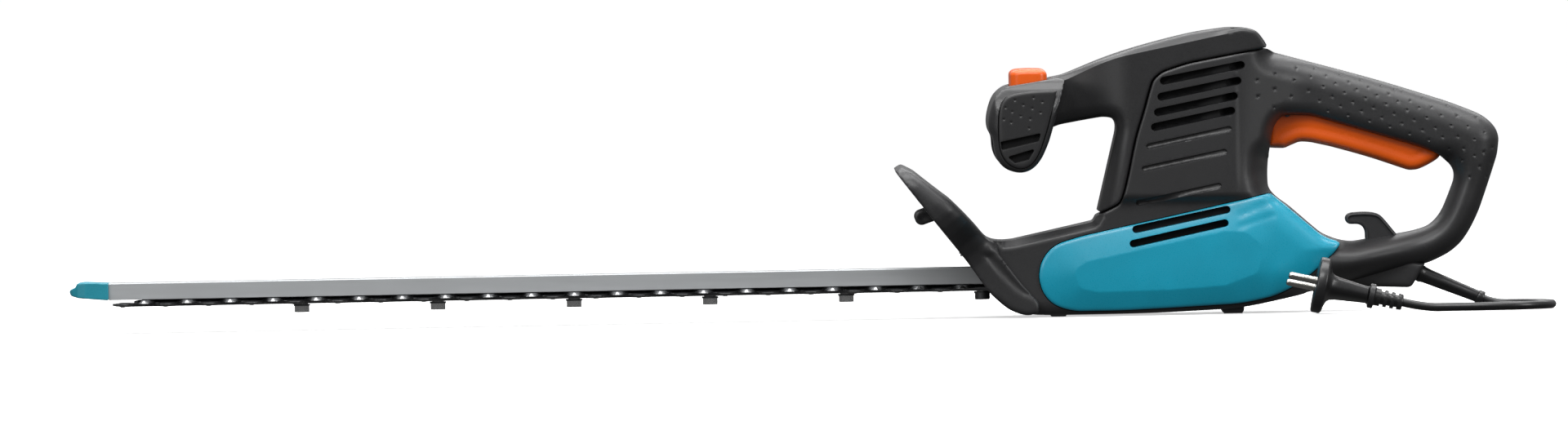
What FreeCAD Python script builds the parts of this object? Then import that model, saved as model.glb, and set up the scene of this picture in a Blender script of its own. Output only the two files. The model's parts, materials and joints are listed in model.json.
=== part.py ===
import FreeCAD, Part
import math
import os
import Sketcher

# Corded hedge trimmer, blade along X (tip at -X), operator at +X, floor at z = 0.
# Millimetres.  Left is the operator's left (-Y), right is +Y.

os.makedirs("parts", exist_ok=True)
doc = FreeCAD.newDocument("HedgeTrimmer")
V = FreeCAD.Vector

# ---------------------------------------------------------------- dimensions
SIZES = [
    # blade
    ("rail_start", -446.5), ("rail_end", 214), ("rail_half", 14), ("rail_bottom", 22.6), ("rail_top", 33.7),
    ("knife_thick", 2.0), ("upper_knife_z", 20.1), ("lower_knife_z", 17.9), ("spine_half", 12.2),
    ("tooth_reach", 29.5), ("tooth_pitch", 28.4), ("tooth_root", 6.6), ("tooth_tip", 3.1), ("tooth_count", 20),
    ("upper_first_tooth", -422.9), ("lower_first_tooth", -437.1),
    ("bolt_first", -319.5), ("bolt_pitch", 90), ("bolt_count", 6), ("bolt_rad", 2.5), ("bush_rad", 4), ("slot_rad", 4.4),
    ("stroke_half", 7.1), ("washer_rad", 5.5), ("nut_flats", 8.5), ("nut_bottom", 12), ("washer_bottom", 16.2),
    # drive
    ("crank_x", 244), ("motor_x", 274), ("shaft_rad", 5), ("cam_rad", 14), ("cam_gap_x", 1.8), ("cam_gap_y", 1.0),
    ("gear_rad", 24.6), ("gear_z", 24), ("gear_thick", 6), ("pinion_rad", 5.0), ("motor_shaft_rad", 4),
    ("armature_rad", 19), ("armature_z", 74), ("armature_len", 42), ("stator_rad", 31), ("stator_bore", 20), ("fan_rad", 27),
    ("commutator_rad", 11),
    # housing
    ("grip_half", 17.5), ("tail_half", 27), ("body_half", 36.5), ("tower_half", 41), ("wall", 3), ("panel_half", 42.5),
    ("arm_half", 24), ("arm_rear_half", 38.5),
    ("guard_half", 82), ("guard_thick", 3.2), ("stem_half", 41),
    ("bow_half", 76), ("pad_thick", 2.4), ("switch_half", 42), ("switch_travel", 4), ("slot_floor", 134),
    ("trigger_half", 10), ("hook_half", 8), ("trigger_pin_rad", 2), ("trigger_x", 334), ("trigger_z", 131),
    # cord
    ("cord_rad", 2.8), ("sleeve_len", 46), ("sleeve_angle", 23), ("sleeve_root_rad", 5.6), ("sleeve_tip_rad", 4),
    ("exit_x", 419.3), ("exit_z", 24.2),
    ("plug_flange_rad", 18.5), ("plug_tilt", 13), ("plug_roll", 15), ("pin_rad", 2.4), ("pin_len", 19), ("pin_apart", 19),
]
sheet = doc.addObject("Spreadsheet::Sheet", "Sizes")
S = {}
for row, (alias, value) in enumerate(SIZES, start=1):
    sheet.set("A%d" % row, alias)
    sheet.set("B%d" % row, str(value))
    sheet.setAlias("B%d" % row, alias)
    S[alias] = float(value)
doc.recompute()
S = {a: float(sheet.get(a)) for a, _ in SIZES}


def val(e):
    """Number of an expression written with the sheet's aliases."""
    return float(e) if not isinstance(e, str) else float(number_of(e))


def number_of(e):
    # sum of signed products of aliases and numbers, such as "2*body_half-wall"
    total, e = 0.0, e.replace(" ", "").replace("-", "+-")
    for term in e.split("+"):
        if not term:
            continue
        p = 1.0
        if term[0] == "-":
            p, term = -1.0, term[1:]
        for f in term.split("*"):
            p *= S[f] if f in S else float(f)
        total += p
    return total


def bind(obj, prop, e):
    """Bind a property to the sheet, or set a plain number."""
    if isinstance(e, str):
        text, word = "", ""
        for ch in e + " ":
            if ch.isalnum() or ch == "_" or (ch == "." and word):
                word += ch
            else:
                text += ("Sizes." + word if word in S else word) + (ch if ch != " " else "")
                word = ""
        obj.setExpression(prop, text)
    else:
        o, names = obj, prop.lstrip(".").split(".")
        if len(names) == 1:
            setattr(o, names[0], e)
        else:
            raise ValueError("plain number on nested property")


# ---------------------------------------------------------------- geometry helpers
def poly(pts):
    """Closed polygon of line segments."""
    out = []
    n = len(pts)
    for i in range(n):
        a, b = pts[i], pts[(i + 1) % n]
        out.append(Part.LineSegment(V(a[0], a[1], 0), V(b[0], b[1], 0)))
    return out


def circ(x, y, r):
    return [Part.Circle(V(x, y, 0), V(0, 0, 1), val(r))]


def rect(x0, y0, x1, y1):
    return poly([(x0, y0), (x1, y0), (x1, y1), (x0, y1)])


def slot(x0, y0, x1, y1, r):
    """Obround with its two end centres."""
    a = math.atan2(y1 - y0, x1 - x0)
    nx, ny = -math.sin(a) * r, math.cos(a) * r
    return [
        Part.LineSegment(V(x0 + nx, y0 + ny, 0), V(x1 + nx, y1 + ny, 0)),
        Part.LineSegment(V(x0 - nx, y0 - ny, 0), V(x1 - nx, y1 - ny, 0)),
        Part.ArcOfCircle(Part.Circle(V(x0, y0, 0), V(0, 0, 1), r), a + math.pi / 2, a + 3 * math.pi / 2),
        Part.ArcOfCircle(Part.Circle(V(x1, y1, 0), V(0, 0, 1), r), a - math.pi / 2, a + math.pi / 2),
    ]


def rounded(pts, radii):
    """Polygon with arcs at its corners."""
    n = len(pts)
    if not isinstance(radii, (list, tuple)):
        radii = [radii] * n
    ins, outs, arcs = [], [], []
    for i in range(n):
        p, a, b = V(*pts[i], 0), V(*pts[i - 1], 0), V(*pts[(i + 1) % n], 0)
        u, w = (a - p).normalize(), (b - p).normalize()
        ang = u.getAngle(w)
        r = radii[i]
        if r <= 0 or abs(math.pi - ang) < 1e-3:
            ins.append(p), outs.append(p), arcs.append(None)
            continue
        d = r / math.tan(ang / 2)
        d = min(d, 0.49 * (a - p).Length, 0.49 * (b - p).Length)
        r = d * math.tan(ang / 2)
        s, e = p + u * d, p + w * d
        c = p + (u + w).normalize() * (r / math.sin(ang / 2))
        m = c + (p - c).normalize() * r
        ins.append(s), outs.append(e), arcs.append(Part.Arc(s, m, e))
    out = []
    for i in range(n):
        if arcs[i] is not None:
            out.append(arcs[i])
        a, b = outs[i], ins[(i + 1) % n]
        if (a - b).Length > 1e-6:
            out.append(Part.LineSegment(a, b))
    return out


def area2(pts):
    return sum(pts[i][0] * pts[(i + 1) % len(pts)][1] - pts[(i + 1) % len(pts)][0] * pts[i][1] for i in range(len(pts)))


def inset(pts, d):
    """Polygon moved inwards by d, vertex by vertex."""
    if area2(pts) < 0:
        pts = pts[::-1]
    n, out = len(pts), []
    for i in range(n):
        x0, y0 = pts[i - 1]
        x1, y1 = pts[i]
        x2, y2 = pts[(i + 1) % n]
        ax, ay, bx, by = x1 - x0, y1 - y0, x2 - x1, y2 - y1
        la, lb = math.hypot(ax, ay), math.hypot(bx, by)
        n1, n2 = (-ay / la, ax / la), (-by / lb, bx / lb)
        k = 1 + n1[0] * n2[0] + n1[1] * n2[1]
        k = max(k, 0.6)
        out.append((d * (n1[0] + n2[0]) / k, d * (n1[1] + n2[1]) / k))
    for turn in range(80):
        settled = True
        for i in range(n):
            j = (i + 1) % n
            ex, ey = pts[j][0] - pts[i][0], pts[j][1] - pts[i][1]
            fx, fy = ex + out[j][0] - out[i][0], ey + out[j][1] - out[i][1]
            if ex * fx + ey * fy < 0.16 * (ex * ex + ey * ey):
                out[i] = (out[i][0] * 0.93, out[i][1] * 0.93)
                out[j] = (out[j][0] * 0.93, out[j][1] * 0.93)
                settled = False
        if settled:
            break
    return [(p[0] + v[0], p[1] + v[1]) for p, v in zip(pts, out)]


class Piece:
    """One sub-part: a PartDesign body built feature by feature."""

    def __init__(self, name):
        self.name = name
        self.body = doc.addObject("PartDesign::Body", "B_" + name)
        self.body.Label = name
        self.count = 0

    def plane(self, role):
        for f in self.body.Origin.OriginFeatures:
            if f.Role == role + "_Plane":
                return f

    def sketch(self, role, geo, at=0, pos=None, turn=0):
        self.count += 1
        sk = self.body.newObject("Sketcher::SketchObject", "%s_s%d" % (self.name, self.count))
        sk.AttachmentSupport = [(self.plane(role), "")]
        sk.MapMode = "FlatFace"
        base = V(pos[0], pos[1], 0) if pos else V(0, 0, 0)
        base.z = val(at)
        sk.AttachmentOffset = FreeCAD.Placement(base, FreeCAD.Rotation(V(0, 0, 1), turn))
        if isinstance(at, str):
            bind(sk, ".AttachmentOffset.Base.z", at)
        sk.addGeometry(geo, False)
        return sk

    def _feature(self, kind, tag):
        self.count += 1
        f = self.body.newObject("PartDesign::" + kind, "%s_%s%d" % (self.name, tag, self.count))
        f.Refine = False
        return f

    def pad(self, role, geo, length, at=0, back=False, mid=False, **kw):
        sk = self.sketch(role, geo, at, **kw)
        f = self._feature("Pad", "pad")
        f.Profile = sk
        bind(f, "Length", length)
        f.Reversed = back
        if mid:
            f.SideType = "Symmetric"
        doc.recompute([f])
        return f

    def pocket(self, role, geo, length, at=0, back=False, mid=False, through=False, **kw):
        before = self.body.Tip.Shape.Volume
        sk = self.sketch(role, geo, at, **kw)
        f = self._feature("Pocket", "cut")
        f.Profile = sk
        if through:
            f.Type = "ThroughAll"
        else:
            bind(f, "Length", length)
        f.Reversed = back
        if mid:
            f.SideType = "Symmetric"
        doc.recompute()
        after = f.Shape.Volume
        if not after < before - 0.01:
            raise RuntimeError("%s: %s cut nothing" % (self.name, f.Name))
        return f

    def revolve(self, role, geo, axis, at=0, angle=360, cut=False, **kw):
        before = self.body.Tip.Shape.Volume if cut else 0
        sk = self.sketch(role, geo, at, **kw)
        f = self._feature("Groove" if cut else "Revolution", "rev")
        f.Profile = sk
        f.ReferenceAxis = (sk, [axis])
        f.Angle = angle
        doc.recompute()
        if cut and not f.Shape.Volume < before - 0.01:
            raise RuntimeError("%s: %s cut nothing" % (self.name, f.Name))
        return f

    def loft(self, role, sections, cut=False):
        """sections: (offset expression or number, polygon), all with the same vertex count."""
        before = self.body.Tip.Shape.Volume if cut else 0
        sks = [self.sketch(role, poly(p), at) for at, p in sections]
        f = self._feature("SubtractiveLoft" if cut else "AdditiveLoft", "loft")
        f.Profile = sks[0]
        f.Sections = sks[1:]
        f.Ruled = True
        doc.recompute()
        if cut and not f.Shape.Volume < before - 0.01:
            raise RuntimeError("%s: %s cut nothing" % (self.name, f.Name))
        return f

    def pattern(self, feats, count, pitch, axis="X_Axis"):
        f = self._feature("LinearPattern", "row")
        f.Originals = feats
        for o in self.body.Origin.OriginFeatures:
            if o.Role == axis:
                f.Direction = (o, [""])
        f.Mode = "Spacing"
        bind(f, "Offset", pitch)
        bind(f, "Occurrences", count)
        self.body.Tip = f
        doc.recompute()
        return f

    def round_edges(self, test, r, chamfer=False):
        """Fillet or chamfer the edges whose middle passes a test."""
        doc.recompute()
        names = []
        for i, e in enumerate(self.body.Shape.Edges, start=1):
            m = e.valueAt((e.FirstParameter + e.LastParameter) / 2)
            if test(m, e):
                names.append("Edge%d" % i)
        base = self.body.Tip
        f = self._feature("Chamfer" if chamfer else "Fillet", "edge")
        f.Base = (base, names)
        if chamfer:
            f.Size = r
        else:
            f.Radius = r
        doc.recompute()
        if "Invalid" in f.State or "Error" in f.State or f.Shape.isNull() or not f.Shape.isValid():
            raise RuntimeError("%s: %s failed" % (self.name, f.Name))
        return f


# ---------------------------------------------------------------- outlines in the side view (x, z)
GROOVE = [(209.6, 67.7), (220.9, 73.4), (224.5, 79.5), (228.0, 92.5), (233.3, 116.1), (239.0, 134.4), (244.8, 153.4),
          (249.1, 158.5), (254.9, 161.5), (272.0, 166.4), (319.6, 174.6)]
GRIP_TOP = [(326.3, 171.8), (389.7, 153.7), (435.9, 138.8), (450.9, 133.1), (461.1, 128.6), (466.9, 124.5), (470.9, 120.0),
            (473.0, 115.5), (473.5, 110.5), (471.7, 99.5), (461.3, 69.4), (455.6, 56.6), (448.9, 45.9), (441.7, 39.0),
            (433.6, 34.3), (423.1, 30.2)]
BOTTOM = [(366.7, 17.2), (323.7, 8.3), (305.4, 4.9), (285.9, 3.1), (237.2, 1.6), (187.5, 1.4), (166.0, 1.8), (157.5, 3.6),
          (151.5, 7.6)]
NOSE = [(139.6, 20.4), (127.3, 37.3), (119.3, 48.6), (133.2, 56.3), (137.8, 53.0), (141.4, 51.7), (146.4, 51.0), (152.2, 51.6),
        (203.6, 62.5), (206.6, 66.4)]
LOOP = [(328.5, 128.0), (333.0, 130.2), (347.7, 130.0), (355.2, 128.2), (414.8, 109.8), (432.0, 103.2), (438.9, 97.8),
        (442.4, 93.2), (443.4, 88.6), (442.4, 83.3), (436.7, 69.3), (433.4, 63.3), (429.3, 58.5), (424.1, 55.0), (415.7, 52.5),
        (405.6, 50.7), (385.0, 47.6), (375.8, 46.3), (368.6, 47.0), (360.9, 49.4), (353.2, 53.6), (334.1, 70.4), (326.8, 75.9),
        (322.4, 80.4), (320.5, 85.0), (320.5, 95.8), (321.9, 108.8), (324.5, 121.6)]
WHOLE = NOSE + GROOVE + GRIP_TOP + BOTTOM
BODY = NOSE + GROOVE + [(321.2, 160.0), (321.0, 128.0), (319.4, 108.0), (318.6, 84.0), (321.8, 79.6), (334.6, 69.4), (353.6, 52.6),
                        (363.0, 47.6), (366.5, 44.6), (361.6, 37.4), (347.0, 24.6), (335.0, 16.6), (324.0, 11.4)] + BOTTOM[2:]
TAIL = [(300.0, 60.0), (318.6, 84.0), (322.4, 80.4), (334.1, 70.4), (353.2, 53.6), (368.6, 47.0), (400.0, 46.0), (404.0, 36.0),
        (385.0, 24.0), (366.7, 17.2), (323.7, 8.3), (305.4, 4.9), (290.0, 10.0)]
TOWER = GROOVE + [(321.2, 160.0), (321.0, 128.0), (319.4, 108.0), (318.6, 84.0), (316.6, 79.5), (261.0, 68.2), (214.0, 58.4),
                  (207.6, 63.2)]
PANEL = [(317.8, 78.9), (320.6, 79.3), (323.0, 78.3), (333.6, 69.4), (352.7, 52.9), (358.6, 49.2), (364.8, 47.0), (366.6, 45.4),
         (365.8, 43.4), (361.4, 38.2), (347.1, 25.6), (335.3, 17.6), (327.1, 13.4), (318.4, 10.4), (304.0, 7.6), (291.9, 6.4),
         (230.8, 3.9), (195.2, 3.7), (186.0, 5.0), (179.0, 7.6), (173.9, 11.4), (170.0, 17.0), (167.9, 23.6), (167.6, 28.5),
         (168.6, 34.6), (171.2, 40.2), (175.0, 44.8), (179.3, 47.9), (184.2, 50.1), (199.4, 54.2), (261.1, 66.9)]
GLAND = [(360.0, 16.0), (411.9, 14.9), (414.8, 16.6), (423.1, 30.4), (400.0, 34.0), (366.0, 24.0)]
SCREWS = [(180.0, 47.2), (300.0, 13.5), (214.6, 65.6), (312.5, 90.0), (313.5, 163.0), (453.5, 121.5), (450.0, 72.0), (382.0, 36.5), (337.0, 60.0)]
FEET = [(174.0, 186.5), (288.0, 303.0)]
TOWER_SLOTS = [((252.1, 154.8), (303.0, 164.2)), ((250.3, 144.3), (300.6, 153.9)), ((247.9, 134.1), (297.9, 143.8)),
               ((245.7, 124.4), (296.1, 134.2))]
TOWER_GROOVES = [((241.5, 111.7), (294.4, 122.2)), ((238.3, 96.9), (291.1, 107.2)), ((234.2, 74.4), (287.0, 84.9))]
VENTS = [((232.1, 57.2), (292.0, 69.1)), ((230.1, 47.8), (290.6, 60.3))]
CHANNEL = [(318.0, 104.0), (318.0, 141.0), (325.0, 152.0), (334.0, 163.0), (389.0, 147.0), (434.0, 132.6), (445.0, 126.0),
           (446.0, 112.0), (438.6, 100.0), (436.4, 94.0), (420.0, 88.0), (340.0, 100.0)]
TAIL_CHANNEL = [(442.6, 113.4), (458.0, 112.0), (463.0, 100.0), (452.0, 70.0), (444.0, 54.0), (432.0, 42.5), (420.0, 36.5),
                (385.0, 29.0), (372.0, 26.0), (352.0, 24.0), (349.0, 32.0), (372.0, 39.5), (408.0, 42.5), (424.0, 46.5), (436.0, 54.5),
                (447.0, 78.0), (449.6, 97.0)]


def half(name, side):
    """One moulded half of the housing.  side +1 is left (-Y)."""
    p = Piece(name)
    left = side > 0
    sg = "" if left else "-1*"

    def at(e):
        return sg + e if isinstance(e, str) else e * side

    def layer(outline, half_e, flat, mid, top):
        w = val(half_e)
        secs = [(0, outline), (sg + half_e + ("-%g" % flat if left else "+%g" % flat), outline),
                (sg + half_e + ("-%g" % (flat * 0.3) if left else "+%g" % (flat * 0.3)), inset(outline, mid)),
                (sg + half_e, inset(outline, top))]
        p.loft("XZ", secs)

    layer(WHOLE, "grip_half", 9, 2.2, 7)
    hole = LOOP[::-1]
    grow = [inset(hole, -k) for k in (0, 0, 1.8, 6, 7)]
    h0 = [(-2.0 * side, grow[0])]
    h0 += [(sg + "grip_half" + ("-9" if left else "+9"), grow[1]), (sg + "grip_half" + ("-2.7" if left else "+2.7"), grow[2]),
           (sg + "grip_half", grow[3]), (sg + "grip_half" + ("+1" if left else "-1"), grow[4])]
    p.loft("XZ", h0, cut=True)
    layer(TAIL, "tail_half", 8, 2, 6)
    layer(BODY, "body_half", 4, 0.8, 2.6)
    layer(TOWER, "tower_half", 9, 1.6, 5.5)
    p.pad("XZ", poly(GLAND), 12.5, back=not left)
    for a, b in FEET:
        p.pad("XZ", poly([(a, 5), (a + 1.2, 0), (b - 1.2, 0), (b, 5)]), 26, at=at(6), back=not left)
    # cavities
    p.pocket("XZ", poly(inset(BODY, S["wall"])), "body_half-wall", back=left)
    p.pocket("XZ", poly(inset(TOWER, S["wall"] + 0.6)), "tower_half-wall-0.6", back=left)
    p.pocket("XZ", poly(CHANNEL), 11.4, back=left)
    p.pocket("XZ", poly(TAIL_CHANNEL), 9.5, back=left)
    # blade opening through the nose
    p.pocket("XZ", rect(112, 9.5, 172, 35.2), 33, back=left)
    # screw bosses and their bores
    for deep, pick in ((38.6, [q for q in SCREWS if 300 < q[0] < 345 and q[1] > 80]), (35, [q for q in SCREWS if q[0] < 345 and not (q[0] > 300 and q[1] > 80)]),
                       (13.5, [q for q in SCREWS if q[0] > 345])):
        p.pad("XZ", [c for x, z in pick for c in circ(x, z, 4.4)], deep, back=not left)
    bores = [c for x, z in SCREWS for c in circ(x, z, 1.75)]
    p.pocket("XZ", bores, 12 if left else 14, back=left)
    if not left:
        p.pocket("XZ", [c for x, z in SCREWS for c in circ(x, z, 3.9)], 40, at=-13.0, back=False)
    # trigger pin seats
    p.pocket("XZ", circ(S["trigger_x"], S["trigger_z"], "trigger_pin_rad"), 14, back=left)
    # air slots and grooves in the tower wall
    out_at = sg + "tower_half"
    ends = []
    for (x0, z0), (x1, z1) in TOWER_SLOTS:
        k = math.hypot(x1 - x0, z1 - z0)
        ends.append((x1 - 8 * (x1 - x0) / k, z1 - 8 * (z1 - z0) / k, x1, z1))
    p.pocket("XZ", [g for (x0, z0), (x1, z1) in TOWER_SLOTS for g in slot(x0, z0, x1, z1, 2.6)], 2.4, at=out_at, back=not left)
    p.pocket("XZ", [g for q in ends for g in slot(*q, 2.6)], 8, at=out_at, back=not left)
    p.pocket("XZ", [g for (x0, z0), (x1, z1) in TOWER_GROOVES for g in slot(x0, z0, x1, z1, 2.0)], 1.2, at=out_at, back=not left)
    # seat of the cord sleeve, bored along the sleeve's slope
    p.revolve("XZ", rect(-11.0, 0.0, 6.0, S["sleeve_root_rad"]), "H_Axis", pos=(S["exit_x"], S["exit_z"]),
              turn=-S["sleeve_angle"], cut=True)
    return p


PIECES = []
PIECES.append(half("housing_left", 1))
PIECES.append(half("housing_right", -1))


def panel(name, side):
    """Coloured side cover with two air vents and a flat centre facet."""
    p = Piece(name)
    left = side > 0
    sg = "" if left else "-1*"

    def off(d):
        return sg + "panel_half" + (("-%g" if left else "+%g") % d)

    p.loft("XZ", [(sg + "body_half" + ("+0.05" if left else "-0.05"), PANEL), (off(3.4), PANEL), (off(1.6), inset(PANEL, 1.6)),
                  (off(0.5), inset(PANEL, 4.6)), (off(0), inset(PANEL, 8.2))])
    for (x0, z0), (x1, z1) in VENTS:
        p.pocket("XZ", slot(x0, z0, x1, z1, 2.2), 12, at=sg + "panel_half" + ("+2" if left else "-2"), back=not left)
    facet = [(190.5, 30.8), (199.3, 36.5), (291.0, 55.0), (305.0, 53.9), (313.5, 46.5), (314.6, 36.5), (311.5, 27.0), (289.8, 19.2), (257.6, 17.2),
             (206.4, 16.5), (194.6, 18.9)]
    p.pocket("XZ", rounded(facet, 3), 0.8, at=sg + "panel_half", back=not left)
    return p


PIECES.append(panel("side_panel_left", 1))
PIECES.append(panel("side_panel_right", -1))

# ---------------------------------------------------------------- handle arm over the tower
ARM = [(178.4, 125.2), (184.7, 127.2), (209.3, 131.4), (215.8, 131.2), (219.2, 129.2), (220.5, 125.6), (219.9, 119.9), (207.4, 69.8),
       (209.2, 68.7), (220.2, 74.2), (223.7, 80.0), (227.1, 92.8), (232.4, 116.4), (238.1, 134.7), (243.9, 154.0), (248.5, 159.3),
       (254.6, 162.5), (271.8, 167.4), (319.6, 175.6), (320.2, 177.4), (317.7, 181.6), (314.6, 185.6), (311.2, 187.6), (304.5, 188.7),
       (293.1, 188.7), (269.6, 185.4), (238.1, 177.9), (213.0, 170.2), (187.3, 160.4), (178.4, 158.3)]
ARM_REAR = [(207.0, 131.8), (215.8, 131.2), (219.2, 129.2), (220.5, 125.6), (219.9, 119.9), (207.4, 69.8)] + ARM[8:27] + [(214.0, 168.5)]
arm = Piece("handle_arm")


def both_ways(p, outline, half_e, flat, mid, top):
    secs = [("-1*" + half_e, inset(outline, top)), ("-1*" + half_e + "+%g" % (flat * 0.3), inset(outline, mid)),
            ("-1*" + half_e + "+%g" % flat, outline), (half_e + "-%g" % flat, outline),
            (half_e + "-%g" % (flat * 0.3), inset(outline, mid)), (half_e, inset(outline, top))]
    p.loft("XZ", secs)


both_ways(arm, ARM, "arm_half", 6, 0.8, 2.4)
both_ways(arm, ARM_REAR, "arm_rear_half", 8, 0.7, 2.2)
arm.pocket("XZ", poly([(186, 134.5), (214, 139.5), (236.0, 145.0), (241.0, 160.0), (252.0, 166.5), (300.0, 176.5), (300.0, 183.0), (270.0, 179.5),
                       (238.0, 171.5), (214.0, 164.0), (186, 154.5)]), 40, mid=True)
arm.pocket("YZ", circ(0, 142, 5), 30, at=170, back=True)
PIECES.append(arm)

# ---------------------------------------------------------------- transverse front handle
BOWSIDE = [(178.0, 158.2), (175.6, 157.2), (163.0, 155.2), (150.4, 153.3), (144.9, 150.8), (140.0, 145.6), (137.0, 138.0), (135.6, 130.4),
           (136.2, 124.2), (138.4, 119.6), (139.2, 111.4), (140.8, 106.2), (143.6, 101.9), (147.6, 98.8), (153.0, 96.9), (157.5, 96.6),
           (161.8, 97.7), (165.8, 100.3), (168.9, 103.8), (171.6, 108.2), (178.0, 125.2)]
bow = Piece("front_handle")
both_ways(bow, BOWSIDE, "bow_half", 9, 2.0, 5.5)
bow.pocket("YZ", rounded([(-53, 80), (-53, 119), (53, 119), (53, 80)], [0, 16, 16, 0]), 70, at=120, back=True)
# outer corners of the bow, seen from the front
for sgn in (-1, 1):
    cor = [Part.LineSegment(V(sgn * 90, 170, 0), V(sgn * 40, 170, 0)), Part.LineSegment(V(sgn * 40, 170, 0), V(sgn * 46, 160, 0)),
           Part.Arc(V(sgn * 46, 160, 0), V(sgn * 67.2, 151.2, 0), V(sgn * 76.5, 131, 0)),
           Part.LineSegment(V(sgn * 76.5, 131, 0), V(sgn * 90, 131, 0)), Part.LineSegment(V(sgn * 90, 131, 0), V(sgn * 90, 170, 0))]
    bow.pocket("YZ", cor, 70, at=120, back=True)
bow.pocket("XY", rounded([(150.2, -43.2), (175.9, -43.2), (175.9, 43.2), (150.2, 43.2)], 6), 40, at="slot_floor", back=True)
bow.pocket("YZ", circ(0, 142, 5), 30, at=165, back=True)
# seats of the soft end pads
PADSHAPE = [(172.0, 149.0), (150.0, 147.0), (144.0, 141.0), (141.4, 130.0), (142.6, 114.0), (146.4, 106.0), (152.0, 102.6), (158.4, 102.2), (164.0, 105.6),
            (167.6, 111.6), (172.0, 125.0)]
bow.pocket("XZ", rounded(PADSHAPE, 4), "pad_thick", at="bow_half", back=False)
bow.pocket("XZ", rounded(PADSHAPE, 4), "pad_thick", at="-1*bow_half", back=True)
PIECES.append(bow)
for nm, sgn in (("grip_pad_left", 1), ("grip_pad_right", -1)):
    gp = Piece(nm)
    small = inset(PADSHAPE, 0.25)
    gp.pad("XZ", rounded(small, 4), "pad_thick-0.1", at=("bow_half-pad_thick+0.05" if sgn > 0 else "-1*bow_half+pad_thick-0.05"), back=sgn < 0)
    for k in range(2):
        z0 = 111 - 8.5 * k
        cutp = [(146.0 + 3 * k, z0 - 0.4), (165.0 - 3.5 * k, z0 + 5.6), (164.0 - 4 * k, z0 + 9.2), (145.6 + 3 * k, z0 + 3.6)] if k == 0 else \
               [(149.5, 104.4), (162.0, 108.2), (158.5, 110.0), (148.6, 107.0)]
        if k == 0:
            cutp = [(145.6, 113.6), (166.6, 119.6), (165.0, 114.4), (146.6, 108.6)]
        gp.pocket("XZ", poly(cutp), 1.4, at=("bow_half" if sgn > 0 else "-1*bow_half"), back=sgn < 0)
    PIECES.append(gp)

# front switch bar, its springs, microswitch and plunger
bar = Piece("front_switch_bar")
b0 = [(151.0, -41.6), (175.2, -41.6), (175.2, 41.6), (151.0, 41.6)]


def plan(x0, x1, hy, c):
    return [(x0 + c, -hy), (x1 - c, -hy), (x1 - c * 0.3, -hy + c * 0.3), (x1, -hy + c), (x1, hy - c), (x1 - c * 0.3, hy - c * 0.3), (x1 - c, hy),
            (x0 + c, hy), (x0 + c * 0.3, hy - c * 0.3), (x0, hy - c), (x0, -hy + c), (x0 + c * 0.3, -hy + c * 0.3)]


bar.loft("XY", [(147.0, plan(150.8, 175.3, 42.4, 6)), (153.0, plan(150.9, 175.2, 42.3, 6)), (163.0, plan(152.4, 173.6, 40.6, 6)),
                (164.6, plan(153.8, 172.2, 38.8, 5))])
PIECES.append(bar)


def spring(name, x, y, z0, z1, rad, wire, turns):
    """Compression spring, axis along Z."""
    p = Piece(name)
    sk = p.sketch("XZ", circ(rad, z0 + wire, wire))
    f = p._feature("AdditiveHelix", "coil")
    f.Profile = sk
    f.ReferenceAxis = (sk, ["V_Axis"])
    f.Mode = 0
    hgt = z1 - z0 - 2 * wire
    f.Height = hgt
    f.Pitch = hgt / turns
    doc.recompute()
    p.body.Placement = FreeCAD.Placement(V(x, y, 0), FreeCAD.Rotation())
    return p


PIECES.append(spring("front_spring_left", 163, -28, 134.05, 146.9, 3.6, 0.45, 5))
PIECES.append(spring("front_spring_right", 163, 28, 134.05, 146.9, 3.6, 0.45, 5))
fs = Piece("front_microswitch")
fs.pad("XY", rect(153.5, -5.2, 172.5, 5.2), 7.4, at="slot_floor")
fs.pocket("XY", circ(163, 0, 1.7), 7.0, at=142.0)
PIECES.append(fs)
fp = Piece("front_plunger")
fp.pad("XY", circ(163, 0, 1.62), 7.7, at=139.0)
PIECES.append(fp)

# ---------------------------------------------------------------- hand guard
FRONT = [(73.7, 98.9), (87.0, 81.3), (103.3, 60.1), (120.2, 38.0), (134.7, 17.5), (141.0, 11.2), (147.6, 5.9), (155.0, 2.7), (162.5, 1.5)]


def back_of(line, d):
    out = []
    for i, (x, z) in enumerate(line):
        a, b = line[max(i - 1, 0)], line[min(i + 1, len(line) - 1)]
        dx, dz = b[0] - a[0], b[1] - a[1]
        k = math.hypot(dx, dz)
        out.append((x - dz / k * d, z + dx / k * d))
    return out


guard = Piece("hand_guard")
TH = S["guard_thick"]
UPPER = FRONT[:4]
guard.pad("XZ", poly(UPPER + back_of(FRONT, TH)[:4][::-1]), "2*guard_half", mid=True)
FLANGE = [(73.7, 98.9), (87.0, 81.3), (103.3, 60.1), (112.0, 48.8), (121.0, 57.0), (131.6, 57.2), (110.2, 79.0), (104.3, 83.1), (91.5, 93.8), (78.7, 102.2)]
FL2 = [(73.7, 98.9), (103.3, 60.1), (113.0, 47.4), (131.8, 57.2), (110.2, 79.0), (104.3, 83.1), (91.5, 93.8), (78.7, 102.2)]
guard.pad("XZ", poly(FL2), 3.0, at="guard_half-3")
guard.pad("XZ", poly(FL2), 3.0, at="-1*guard_half")
# lower stem round the blade
LOW = [(103.3, 60.1)] + FRONT[3:8]
LOWB = back_of([(103.3, 60.1)] + FRONT[3:8], TH)
guard.pad("XZ", poly(LOW + LOWB[::-1]), "2*stem_half", mid=True)
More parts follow.
